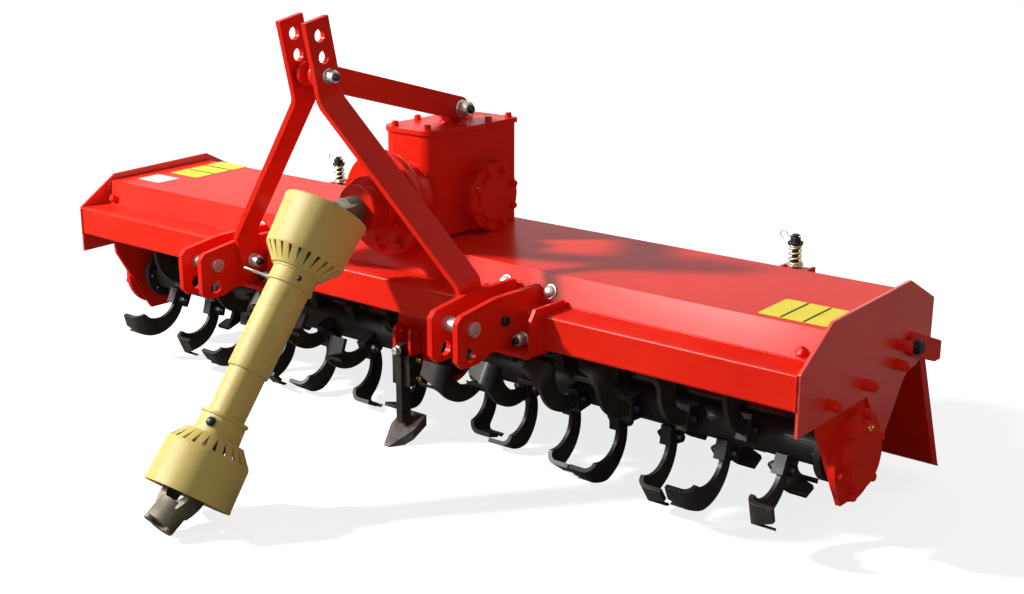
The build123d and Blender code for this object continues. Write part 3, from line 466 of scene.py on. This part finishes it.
def seriesTree():
    # one kit on every point, along the point's direction, at its size, and turned at random about itself
    tree, source = treeWithInputs("kit_series")
    aim = addNode(tree, "GeometryNodeInputNamedAttribute", {"Name": "aim"}, data_type="FLOAT_VECTOR")
    size = addNode(tree, "GeometryNodeInputNamedAttribute", {"Name": "size"}, data_type="FLOAT")
    spin = addNode(tree, "FunctionNodeRandomValue", {2: 0.0, 3: flatTurn, "Seed": 0}, data_type="FLOAT")
    turn = addNode(tree, "FunctionNodeAlignRotationToVector", {"Vector": aim.outputs["Attribute"]}, axis="Z")
    twist = addNode(tree, "FunctionNodeAxisAngleToRotation", {"Axis": (0, 0, 1), "Angle": spin.outputs[1]})
    both = addNode(tree, "FunctionNodeRotateRotation", {
        "Rotation": turn.outputs["Rotation"], "Rotate By": twist.outputs["Rotation"]}, rotation_space="LOCAL")
    return kitOnPoints(tree, source, source["Geometry"], both.outputs["Rotation"], size.outputs["Attribute"])


def beadTree():
    # uneven ripples of weld metal, spaced along the edges of the piece
    tree, source = treeWithInputs("weld_beads", ("Pitch", "Width"))
    curve = addNode(tree, "GeometryNodeMeshToCurve", {"Mesh": source["Geometry"]})
    spread = addNode(tree, "GeometryNodeResampleCurve", {
        "Curve": curve.outputs["Curve"], "Length": source["Pitch"]}, mode="LENGTH")
    tangent = addNode(tree, "GeometryNodeInputTangent")
    turn = addNode(tree, "FunctionNodeAlignRotationToVector", {"Vector": tangent.outputs["Tangent"]}, axis="Z")
    uneven = addNode(tree, "FunctionNodeRandomValue", {2: rippleSpread[0], 3: rippleSpread[1], "Seed": 0},
                     data_type="FLOAT")
    size = addNode(tree, "ShaderNodeMath", {0: uneven.outputs[1], 1: source["Width"]}, operation="MULTIPLY")
    return kitOnPoints(tree, source, spread.outputs["Curve"], turn.outputs["Rotation"], size.outputs["Value"])


def throughNodes(name, mesh, tree, inputs, body):
    # run one mesh through a tree and keep the result as plain geometry
    piece = newObject(name, mesh)
    modifier = piece.modifiers.new("nodes", "NODES")
    modifier.node_group = tree
    for item in tree.interface.items_tree:
        if item.in_out == "INPUT" and item.name in inputs:
            modifier[item.identifier] = inputs[item.name]
    return rideOn(realised(piece), body)


series, beads = seriesTree(), beadTree()


def fastenerSeries(name, kitName, rows, material, body):
    # rows: (place, direction, width across flats)
    mesh = bpy.data.meshes.new(name)
    mesh.from_pydata([place for place, aim, size in rows], [], [])
    mesh.attributes.new("aim", "FLOAT_VECTOR", "POINT")
    mesh.attributes.new("size", "FLOAT", "POINT")
    mesh.attributes["aim"].data.foreach_set("vector", [value for place, aim, size in rows for value in aim])
    mesh.attributes["size"].data.foreach_set("value", [size for place, aim, size in rows])
    return throughNodes(name, mesh, series, {"Kit": kits[kitName], "Finish": material}, body)


def weldSeries(name, lines, look, material, body):
    points, edges = [], []
    for line in lines:
        edges += [(len(points) + i, len(points) + i + 1) for i in range(len(line) - 1)]
        points += line
    mesh = bpy.data.meshes.new(name)
    mesh.from_pydata(points, edges, [])
    inputs = {"Kit": kits["ripple"], "Finish": material, "Pitch": look["pitch"], "Width": look["width"]}
    return throughNodes(name, mesh, beads, inputs, body)


def bothSides(rows):
    # rows and their mirror images about the machine's middle
    return rows + [(Vector((-place[0], place[1], place[2])), Vector((-aim[0], aim[1], aim[2])), size)
                   for place, aim, size in rows]


def ringOf(middle, aim, radius, count, start, size):
    # fasteners round a circle in a plane across x or y
    rows = []
    for i in range(count):
        angle = math.radians(start) + math.tau * i / count
        wide, tall = radius * math.cos(angle), radius * math.sin(angle)
        offset = Vector((0, wide, tall)) if abs(aim[0]) > 0.5 else Vector((wide, 0, tall))
        rows.append((middle + offset, aim, size))
    return rows


xPlus, xMinus, yPlus, yMinus, zPlus = map(Vector, ((1, 0, 0), (-1, 0, 0), (0, 1, 0), (0, -1, 0), (0, 0, 1)))
rotorAxis = at(0.0, 0.212, -0.202)
slopeNormal = Vector((0.0, -0.9261, 0.3773))    # the front slope of the hood faces this way

# painted bolts: places from the beam's top front edge, and widths across the flats
frameBolts = {
    # on the right end plate, over its bearing plate
    "endPlate": {"places": [(1.0, 0.101, -0.078), (1.0, 0.233, -0.077), (1.0, 0.354, -0.070), (1.0, 0.360, -0.034)],
                 "size": 0.0185},
    "lid": {"places": [(0.046, 0.137, 0.284), (0.065, 0.225, 0.284), (0.065, 0.305, 0.284), (0.062, 0.374, 0.284)],
            "size": 0.0135},
    "hoodCorner": {"places": [(0.958, 0.0755, 0.0135)], "size": 0.0165},
    # middle, direction, radius, number, angle of the first, size
    "bearingRing": (at(1.007, 0.212, -0.202), xPlus, 0.0745, 6, 12.0, 0.015),
    "flangeRing": (at(0.0, 0.046, 0.140), yMinus, 0.0935, 10, 14.0, 0.0145),
    "inputCapRing": (at(0.0, 0.030, 0.140), yMinus, 0.0715, 6, 30.0, 0.0115),
    "sideCoverRing": (at(0.111, 0.272, 0.132), xPlus, 0.061, 8, 20.0, 0.013),
}


def boltRows(data, aim):
    # one size of bolt at places on the right, repeated on the left
    return bothSides([(at(*place), aim, data["size"]) for place in data["places"]])


endPlateRows = boltRows(frameBolts["endPlate"], xPlus)
frameRows = (bothSides(ringOf(*frameBolts["bearingRing"])) + boltRows(frameBolts["lid"], zPlus)
             + ringOf(*frameBolts["flangeRing"]) + ringOf(*frameBolts["inputCapRing"])
             + bothSides(ringOf(*frameBolts["sideCoverRing"])) + boltRows(frameBolts["hoodCorner"], slopeNormal))
fastenerSeries("endPlateNuts", "longNut", endPlateRows, redEnamel, "machine")
fastenerSeries("frameBolts", "hexHead", frameRows, redEnamel, "machine")

# bolts that stay in pale, yellow or black plating, on the hitch brackets, the mast and the ripper
hitchBolts = {
    "carriage": {"places": [(0.306, 0.0784, 0.0206), (0.416, 0.0784, 0.0206)], "size": 0.024},
    "earPlug": {"places": [(0.3955, -0.037, -0.0140)], "size": 0.020},
    "ripperClamp": {"places": [(0.0252, 0.120, -0.2090), (0.0252, 0.120, -0.2500)], "size": 0.012},
    "ripperShank": ((0.0, 0.0840, -0.184), 0.016),
    # nut and stud: inside the ear and at the mast's pin, on the strut's rear pin, and at the brackets' feet
    "earNut": ((0.3115, -0.037, -0.0140), 0.024), "mastPin": ((0.0412, -0.1300, 0.4200), 0.024),
    "strutPin": {"places": [(0.0206, 0.268, 0.312)], "size": 0.029},
    "foot": {"places": [(0.300, -0.001, -0.054), (0.414, -0.001, -0.054)], "size": 0.023},
}


def singleBolt(data, aim):
    place, size = data
    return at(*place), aim, size


carriageRows = boltRows(hitchBolts["carriage"], slopeNormal)
clampRows = boltRows(hitchBolts["ripperClamp"], xPlus)
plugRows = boltRows(hitchBolts["earPlug"], xPlus)
mastRows = (bothSides([singleBolt(hitchBolts["earNut"], xMinus), singleBolt(hitchBolts["mastPin"], xPlus)])
            + boltRows(hitchBolts["strutPin"], xPlus) + boltRows(hitchBolts["foot"], yMinus))
fastenerSeries("hoodCarriageBolts", "domeHead", carriageRows, zincPlate, "machine")
fastenerSeries("shankBolt", "hexHead", [singleBolt(hitchBolts["ripperShank"], yMinus)], zincPlate, "machine")
fastenerSeries("clampBolts", "hexHead", clampRows, brass, "machine")
fastenerSeries("earPlugs", "plug", plugRows, blackOxide, "machine")
fastenerSeries("mastNuts", "nut", mastRows, zincPlate, "machine")
fastenerSeries("mastStuds", "studEnd", mastRows, blackOxide, "machine")
print("tiller: bolts on the frame", sum(map(len, (
    endPlateRows, frameRows, carriageRows, plugRows, clampRows, mastRows))))

# bolts through the blade holders, on a helix that turns step by step, and round the rotor's outer flanges
rotorBolts = {
    "stations": 13, "first": 0.104, "last": 0.876, "lastDirection": 154.0, "step": 95.0, "radius": 0.0575,
    "holderHalf": 0.012, "size": 0.017,
    "flangeRing": (at(0.950, 0.212, -0.202), xMinus, 0.0475, 8, 0.0, 0.010),
}


def rotorBoltRows(data):
    heads, nuts = [], []
    last = data["stations"] - 1
    for index in range(data["stations"]):
        across = data["first"] + index * (data["last"] - data["first"]) / last
        for half in (0.0, 180.0):
            turn = math.radians(data["lastDirection"] + (last - index) * data["step"] + half)
            middle = rotorAxis + Vector((0.0, -math.sin(turn), math.cos(turn))) * data["radius"]
            heads.append((middle + xPlus * (across + data["holderHalf"]), xPlus, data["size"]))
            nuts.append((middle + xPlus * (across - data["holderHalf"]), xMinus, data["size"]))
    return bothSides(heads + ringOf(*data["flangeRing"])), bothSides(nuts)


bladeHeads, bladeNuts = rotorBoltRows(rotorBolts)
fastenerSeries("bladeBolts", "hexHead", bladeHeads, blackOxide, "rotor")
fastenerSeries("bladeNuts", "nutAndStud", bladeNuts, blackOxide, "rotor")
print("tiller: bolts on the rotor", len(bladeHeads) + len(bladeNuts))

welds = {
    "pitch": 0.0032, "width": 0.0055,
    # across, behind and above at the corners of each run on the right, repeated on the left
    "runs":
        # down the front of the beam and back over it, along both faces of a hitch bracket's two ears
        [[(face, -0.001, -0.067), (face, -0.001, 0.0), (face, 0.066, 0.001)]
         for face in (0.3235, 0.3355, 0.3865, 0.3985)]
        # down both faces of the bracket's outer cheek
        + [[(face, -0.001, -0.067), (face, -0.001, -0.001)] for face in (0.451, 0.459)]
        # along the lower edge of the bracket's foot, between these plates
        + [[(start, -0.001, -0.0675), (end, -0.001, -0.0675)]
           for start, end in ((0.266, 0.3215), (0.3375, 0.3845), (0.4005, 0.450))]
        # beam and hood against the end plate
        + [[(0.9935, behind, above) for behind, above in (
            (0.0, -0.064), (0.0, -0.004), (0.004, 0.0), (0.070, 0.0), (0.092, 0.054), (0.390, 0.062),
            (0.490, 0.014), (0.490, -0.050))]]
        # lug on the lid
        + [[(0.012, 0.2395, 0.2845), (0.012, 0.2965, 0.2845)]],
    # hood along the beam
    "hoodRun": [(-0.990, 0.0702, 0.0), (0.990, 0.0702, 0.0)],
}
weldLines = [[at(side * across, behind, above) for across, behind, above in run]
             for side in (1, -1) for run in welds["runs"]]
weldLines.append([at(*corner) for corner in welds["hoodRun"]])
weldSeries("frameWelds", weldLines, welds, redEnamel, "machine")

# sealant squeezed out round the gear case's front flange, as (radius, distance behind the beam's front)
sealant = {"pitch": 0.0026, "width": 0.0045, "height": 0.140, "steps": 60,
           "rings": ((0.1065, 0.0625), (0.0765, 0.1215))}
sealantLines = []
for radius, behind in sealant["rings"]:
    turns = [math.tau * i / sealant["steps"] for i in range(sealant["steps"] + 1)]
    sealantLines.append([at(radius * math.cos(turn), behind, sealant["height"] + radius * math.sin(turn))
                         for turn in turns])
weldSeries("flangeSealant", sealantLines, sealant, redEnamel, "machine")
print("tiller: welds", len(weldLines))

# springs round the two guide rods, with the seat under each; heights are along the rod from its lower eye
springs = {
    "side": 0.668, "eye": (0.578, -0.200), "top": (0.560, 0.084), "foot": 0.2225, "head": 0.2640,
    "coilRadius": 0.0118, "wire": 0.0023, "turns": 5.0, "flatTurns": 0.8, "stepsInTurn": 22,
    "seatBore": 0.0093, "seatRadius": 0.017, "seatThickness": 0.003,
}
# a hairpin through each rod's end; its points are along its leg, beside it, and along the rod
hairpin = {
    "wire": 0.0014, "fromEnd": 0.0035, "loopMiddle": -0.0267, "loopRadius": 0.008, "loopSteps": 18, "loopEnd": 13,
    "leg": ((-0.0187, 0.0, 0.0), (-0.0068, 0.0, 0.0), (0.0255, 0.0, 0.0), (0.034, 0.001, 0.002)),
    "back": ((-0.0102, 0.007, -0.001), (0.0, 0.0085, 0.0), (0.0187, 0.006, 0.001)),
}


def springShapes(data, rodFrame):
    low, high, turns = data["foot"] + data["wire"], data["head"] - data["wire"], data["turns"]
    steps = int(turns * data["stepsInTurn"])
    coil = []
    for i in range(steps + 1):
        # the end coils lie flat
        wound = turns * i / steps
        rise = min(max((wound - data["flatTurns"]) / (turns - 2 * data["flatTurns"]), 0.0), 1.0)
        coil.append(rodFrame @ polar(data["coilRadius"], math.tau * wound, low + (high - low) * rise))
    foot, base = data["foot"], data["foot"] - data["seatThickness"]
    bore, rim = data["seatBore"], data["seatRadius"]
    seat = lofted(revolved([(bore, base), (rim, base), (rim, foot), (bore, foot)], 24), joined=True)
    return swept(coil, data["wire"]), (*seat, rodFrame)


def hairpinShapes(data, rodFrame, rodLength):
    pin = Vector((0.0, 0.0, rodLength - data["fromEnd"]))
    loop = []
    for i in range(data["loopEnd"] + 1):
        bend = polar(data["loopRadius"], math.tau * i / data["loopSteps"])
        loop.append(pin + Vector((data["loopMiddle"] + bend.x, 0.0, bend.y)))
    leg = [pin + Vector(point) for point in data["leg"]]
    back = [loop[-1]] + [pin + Vector(point) for point in data["back"]]
    return [(*swept(line, data["wire"], wireSides), rodFrame) for line in (leg, loop, back)]


coils, seats, hairpins = [], [], []
for side in (1, -1):
    eye, top = (at(side * springs["side"], *springs[end]) for end in ("eye", "top"))
    rodFrame = placedAt(eye, top - eye)
    coil, seat = springShapes(springs, rodFrame)
    coils.append(coil)
    seats.append(seat)
    hairpins += hairpinShapes(hairpin, rodFrame, (top - eye).length)
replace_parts(newPiece("coilSprings", coils, springSteel, "board", wireAngle), "rod_springs")
newPiece("springSeats", seats, zincPlate, "board")
newPiece("rodHairpins", hairpins, zincPlate, "board", wireAngle)
print("tiller: springs")

# drive shaft: the place of its upper joint, its slant and its droop at the free end, and what rides on it
shaft = {"joint": (0.0, -0.116, 0.140), "length": 0.57047, "slant": 38.0, "droop": 33.0}
slant, droop = math.radians(shaft["slant"]), math.radians(shaft["droop"])
alongShaft = Vector((0.0, -math.sin(slant), -math.cos(slant)))
acrossShaft = Vector((0.0, math.cos(slant), -math.sin(slant)))
upperJoint = at(*shaft["joint"])
lowerJoint = upperJoint + alongShaft * shaft["length"]
shaftFrame = placedAt(upperJoint, alongShaft)
guards = {
    "vents": 24, "wall": 0.003,
    # shares of a vent's pitch: it opens from the second to the fourth at the bell, and ends at the third
    "ventShares": (0.0, 0.32, 0.5, 0.68),
    # (distance from the upper joint along the shaft, outside radius); the vents lie after ring number ventRing
    "upper": {"ventRing": 4, "rings": [
        (-0.013, 0.0862), (-0.009, 0.0868), (-0.005, 0.0855), (0.086, 0.0805), (0.092, 0.0785),
        (0.119, 0.0545), (0.123, 0.0525), (0.124, 0.0475), (0.1275, 0.0475), (0.128, 0.0455),
        (0.151, 0.0455), (0.1515, 0.0475), (0.157, 0.0475), (0.1575, 0.0425), (0.336, 0.0418),
        (0.339, 0.0412), (0.339, 0.0382)]},
    "lower": {"ventRing": 4, "rings": [
        (0.597, 0.0862), (0.593, 0.0868), (0.589, 0.0857), (0.511, 0.0838), (0.505, 0.0815),
        (0.480, 0.0605), (0.477, 0.0590), (0.476, 0.0470), (0.440, 0.0445), (0.4395, 0.0475),
        (0.434, 0.0475), (0.4335, 0.0372), (0.200, 0.0370)]},
}


def guardPiece(name, look, node, body):
    # each vent is a triangle between two ribs, wide at the bell and pointed at the collar
    turns = [math.tau * (vent + share) / guards["vents"]
             for vent in range(guards["vents"]) for share in guards["ventShares"]]
    points, faces = lofted([[polar(radius, turn, along) for turn in turns] for along, radius in look["rings"]],
                           capped=False)
    steps = len(turns)
    kept = [face for i, face in enumerate(faces) if i // steps != look["ventRing"]]
    wide, corners = look["ventRing"] * steps, len(guards["ventShares"])
    for start in range(0, steps, corners):
        a, b = ([row + (start + k) % steps for k in range(corners + 1)] for row in (wide, wide + steps))
        kept += [(a[0], a[1], b[2], b[1], b[0]), (a[3], a[4], b[4], b[3], b[2])]
    piece = newObject(name, meshOf(name, [(points, kept, shaftFrame)], guardPlastic))
    thick = piece.modifiers.new("wall", "SOLIDIFY")
    thick.thickness, thick.offset = guards["wall"], -1.0
    rideOn(realised(piece), body)
    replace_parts(piece, node)


guardPiece("upperGuard", guards["upper"], "guard_upper", "shaft_top")
guardPiece("lowerGuard", guards["lower"], "guard_lower", "shaft_bottom")

guardFittings = {
    # (distance along the shaft, radius, angle round it from +X towards its front and top), and the screws' size
    "upperScrews": [(0.140, 0.0452, 30.0), (0.140, 0.0452, 210.0)], "upperSize": 0.009,
    "lowerScrews": [(0.456, 0.0452, 70.0), (0.456, 0.0452, 250.0)], "lowerSize": 0.0165,
    "clip": (0.1545, 0.047, 142.0), "clipWire": 0.0016,
    # along the shaft, round it, and outwards from the guard
    "clipPath": [(-0.002, -0.006, -0.004), (0.0, -0.006, 0.027), (0.001, -0.004, 0.045), (0.0015, 0.0, 0.048),
                 (0.001, 0.004, 0.045), (0.0, 0.006, 0.027), (-0.002, 0.006, -0.004)],
}


def roundShaft(along, radius, angle):
    outward = polar(1.0, math.radians(angle))
    return shaftFrame @ (outward * radius + Vector((0, 0, along))), shaftFrame.to_3x3() @ outward


for end, body in (("upper", "shaft_top"), ("lower", "shaft_bottom")):
    rows = [(*roundShaft(*place), guardFittings[end + "Size"]) for place in guardFittings[end + "Screws"]]
    fastenerSeries(end + "GuardScrews", "domeHead", rows, blackOxide, body)
clipPlace, clipOut = roundShaft(*guardFittings["clip"])
clipWire = swept([Vector(point) for point in guardFittings["clipPath"]], guardFittings["clipWire"], wireSides)
newPiece("guardClip", [(*clipWire, placedAt(clipPlace, clipOut, alongShaft))], zincPlate, "shaft_top", wireAngle)

# on the crosses: a bearing cap at each end of both pins, and a nipple between them
crosses = {"capReach": 0.0387, "capSize": 0.0225, "nippleReach": 0.0165, "nippleSize": 0.007}
nippleAim = (xPlus + acrossShaft).normalized()
for name, centre, body in (("upperCaps", upperJoint, "upper_cross"), ("lowerCaps", lowerJoint, "lower_cross")):
    rows = [(centre + aim * crosses["capReach"], aim, crosses["capSize"])
            for aim in (xPlus, xMinus, acrossShaft, -acrossShaft)]
    fastenerSeries(name, "bearingCap", rows, blackOxide, body)
    fastenerSeries(name + "Nipple", "nipple", [
        (centre + nippleAim * crosses["nippleReach"], nippleAim, crosses["nippleSize"])], brass, body)

# two screws on the face of the free yoke's hub, over and beside its bore
hubScrews = {"end": 0.0995, "radius": 0.0262, "size": 0.0170, "angles": (100.0, -8.0)}
hubAlong = Vector((0.0, -math.cos(droop), -math.sin(droop)))
hubAcross = Vector((0.0, -math.sin(droop), math.cos(droop)))
hubRows = []
for angle in map(math.radians, hubScrews["angles"]):
    outward = xPlus * math.cos(angle) + hubAcross * math.sin(angle)
    hubRows.append((lowerJoint + hubAlong * hubScrews["end"] + outward * hubScrews["radius"], hubAlong,
                    hubScrews["size"]))
fastenerSeries("hubScrews", "plug", hubRows, forgedSteel, "tractor_yoke")
print("tiller: drive shaft")

# nipples on the rotor's bearings, pointing outwards and up
bearingNipple = {"place": (1.0235, 0.212, -0.150), "lean": 0.8, "size": 0.0085}
fastenerSeries("bearingNipples", "nipple", bothSides([
    (at(*bearingNipple["place"]), (xPlus + zPlus * bearingNipple["lean"]).normalized(), bearingNipple["size"])]),
    brass, "machine")

# blank stickers on the hood's deck, which rises a little towards the back
stickers = {
    "ridge": (0.0, 0.092, 0.0543), "deckRise": 0.008, "deckDepth": 0.298,
    # centre across, centre behind the ridge, width, height
    "yellow": [(0.918, 0.066, 0.134, 0.102), (-0.885, 0.222, 0.105, 0.165)],
    "white": [(-0.905, 0.078, 0.085, 0.062)],
    "thickness": 0.0005, "cornerRadius": 0.004, "lift": 0.0001,
    # dark lines between the three panels of a yellow one, side by side where its width is this share of its height
    "lineWidth": 0.0045, "lineMargin": 0.004, "lineRadius": 0.0004, "lineThickness": 0.00025, "sideBySide": 0.9,
}
deckRise = math.atan2(stickers["deckRise"], stickers["deckDepth"])
deckFrame = placedAt(at(*stickers["ridge"]), Vector((0.0, -math.sin(deckRise), math.cos(deckRise))))
stickerShapes = {"yellow": [], "white": [], "ink": []}
for colour in ("yellow", "white"):
    for across, behind, width, height in stickers[colour]:
        matrix = deckFrame @ Matrix.Translation((across, behind, stickers["lift"]))
        sheet = roundedPlate(width, height, stickers["cornerRadius"], stickers["thickness"])
        stickerShapes[colour].append((*sheet, matrix))
        for share in (-1 / 6, 1 / 6) if colour == "yellow" else ():
            if width > height * stickers["sideBySide"]:
                spot, lineSize = (share * width, 0.0), (stickers["lineWidth"], height - stickers["lineMargin"])
            else:
                spot, lineSize = (0.0, share * height), (width - stickers["lineMargin"], stickers["lineWidth"])
            line = roundedPlate(*lineSize, stickers["lineRadius"], stickers["lineThickness"], 2)
            stickerShapes["ink"].append((*line, matrix @ Matrix.Translation((*spot, stickers["thickness"]))))
for colour, material in (("yellow", yellowSticker), ("white", whiteSticker), ("ink", stickerInk)):
    newPiece("stickers_" + colour, stickerShapes[colour], material, "machine")
print("tiller: stickers")

# level plug and drain plug on the back of the gear case, and the breather on its lid
gearCase = {
    "plugs": [(0.0, 0.3865, 0.095), (0.0, 0.3865, 0.175)], "plugSize": 0.022,
    "breather": (-0.030, 0.350, 0.284), "breatherFoot": 0.018, "footHeight": 0.007,
    "breatherCap": [(0.006, 0.007), (0.006, 0.011), (0.0105, 0.012), (0.0105, 0.021), (0.008, 0.024),
                    (0.001, 0.0245)],
}
fastenerSeries("oilPlugs", "hexHead", [(at(*place), yPlus, gearCase["plugSize"]) for place in gearCase["plugs"]],
               blackOxide, "machine")
foot = lofted([hexRing(height, gearCase["breatherFoot"]) for height in (0.0, gearCase["footHeight"])])
cap = lofted(revolved(gearCase["breatherCap"], 24))
lidPlace = Matrix.Translation(at(*gearCase["breather"]))
newPiece("breather", [(*foot, lidPlace), (*cap, lidPlace)], blackOxide, "machine")

for kitObject in kits.values():
    bpy.data.objects.remove(kitObject)
print("tiller: pieces ready")

studio = {
    "floorSize": 14.0, "floorColour": "#F4F4F2", "bounceColour": "#8E8C88", "backdropColour": "#FFFFFF",
    "ambient": 0.2, "glowNear": 0.62, "glowStart": 1.5, "glowEnd": 2.9, "glowStrength": 1.3,
    # name: place, size, watts, what it points at
    "lamps": {
        "key": ((-5.2, -4.0, 4.5), 0.45, 1020.0, (0.0, 0.0, 0.4)),
        "glare": ((-1.29, -2.77, 2.35), 0.9, 400.0, (0.8, 0.05, 0.4)),
        "fill": ((4.6, -3.6, 2.2), 3.5, 24.0, (0.2, 0.0, 0.3)),
        "rim": ((2.5, 4.5, 4.2), 2.6, 30.0, (0.0, 0.2, 0.4)),
    },
}
viewpoint = {"focal": 52.42, "sensor": 36.0, "azimuth": 39.915, "elevation": 15.83, "roll": 0.022,
             "place": (2.117, -2.0696, 0.7868)}


def buildFloor(setup):
    material, tree = newMaterial("pale_floor")
    path = addNode(tree, "ShaderNodeLightPath")
    # the yard under a tiller is dark, so the floor throws less light up than the camera sees on it
    tone = addNode(tree, "ShaderNodeMix", {
        0: path.outputs["Is Camera Ray"], "A": linearColour(setup["bounceColour"]),
        "B": linearColour(setup["floorColour"])}, data_type="RGBA")
    matte = addNode(tree, "ShaderNodeBsdfDiffuse", {"Color": tone.outputs["Result"]})
    glow = addNode(tree, "ShaderNodeEmission", {
        "Color": linearColour(setup["backdropColour"]), "Strength": setup["glowStrength"]})
    # away from the machine the floor turns into the white of the backdrop
    place = addNode(tree, "ShaderNodeTexCoord").outputs["Object"]
    reach = addNode(tree, "ShaderNodeVectorMath", {0: place}, operation="LENGTH")
    fade = addNode(tree, "ShaderNodeMapRange", {
        "Value": reach.outputs["Value"], "From Min": setup["glowStart"], "From Max": setup["glowEnd"],
        "To Min": setup["glowNear"], "To Max": 1.0}, interpolation_type="SMOOTHSTEP")
    share = addNode(tree, "ShaderNodeMath", {0: path.outputs["Is Camera Ray"], 1: fade.outputs["Result"]},
                    operation="MULTIPLY")
    both = addNode(tree, "ShaderNodeMixShader", {0: share.outputs[0], 1: matte.outputs[0], 2: glow.outputs[0]})
    addNode(tree, "ShaderNodeOutputMaterial", {"Surface": both.outputs[0]})
    half = setup["floorSize"] / 2
    mesh = bpy.data.meshes.new("floor")
    mesh.from_pydata([(-half, -half, 0), (half, -half, 0), (half, half, 0), (-half, half, 0)], [], [(0, 1, 2, 3)])
    mesh.materials.append(material)
    newObject("floor", mesh)


def buildWorld(setup):
    # the machine gets the dim light of the sky, while the camera and reflections see the white backdrop
    world = bpy.data.worlds.new("studio")
    bpy.context.scene.world = world
    world.use_nodes = True
    tree = world.node_tree
    tree.nodes.clear()
    path = addNode(tree, "ShaderNodeLightPath")
    ambient = addNode(tree, "ShaderNodeBackground", {"Color": (1, 1, 1, 1), "Strength": setup["ambient"]})
    seen = addNode(tree, "ShaderNodeBackground", {"Color": linearColour(setup["backdropColour"]), "Strength": 1.0})
    pick = path.outputs["Is Camera Ray"]
    for ray in ("Is Glossy Ray", "Is Transmission Ray"):
        pick = addNode(tree, "ShaderNodeMath", {0: pick, 1: path.outputs[ray]}, operation="MAXIMUM").outputs[0]
    both = addNode(tree, "ShaderNodeMixShader", {0: pick, 1: ambient.outputs[0], 2: seen.outputs[0]})
    addNode(tree, "ShaderNodeOutputWorld", {"Surface": both.outputs[0]})


def buildLamps(lamps):
    for name, (place, size, watts, target) in lamps.items():
        lamp = bpy.data.lights.new(name, "AREA")
        lamp.size, lamp.energy = size, watts
        holder = newObject(name, lamp)
        holder.location = place
        holder.rotation_euler = (Vector(target) - Vector(place)).to_track_quat("-Z", "Y").to_euler()
        # the glare is a sheen on the slope of the hood and lights no colour
        holder.visible_diffuse = name != "glare"


def buildCamera(view):
    lens = bpy.data.cameras.new("camera")
    lens.sensor_width, lens.lens = view["sensor"], view["focal"]
    camera = newObject("camera", lens)
    azimuth, elevation = math.radians(view["azimuth"]), math.radians(view["elevation"])
    forward = Vector((-math.sin(azimuth) * math.cos(elevation), math.cos(azimuth) * math.cos(elevation),
                      -math.sin(elevation)))
    roll = Matrix.Rotation(math.radians(view["roll"]), 3, "Z").to_quaternion()
    camera.location = at(*view["place"])
    camera.rotation_euler = (forward.to_track_quat("-Z", "Y") @ roll).to_euler()
    bpy.context.scene.camera = camera


buildFloor(studio)
buildWorld(studio)
buildLamps(studio["lamps"])
buildCamera(viewpoint)
bpy.context.scene.view_settings.view_transform = "Standard"
print("tiller: studio ready")
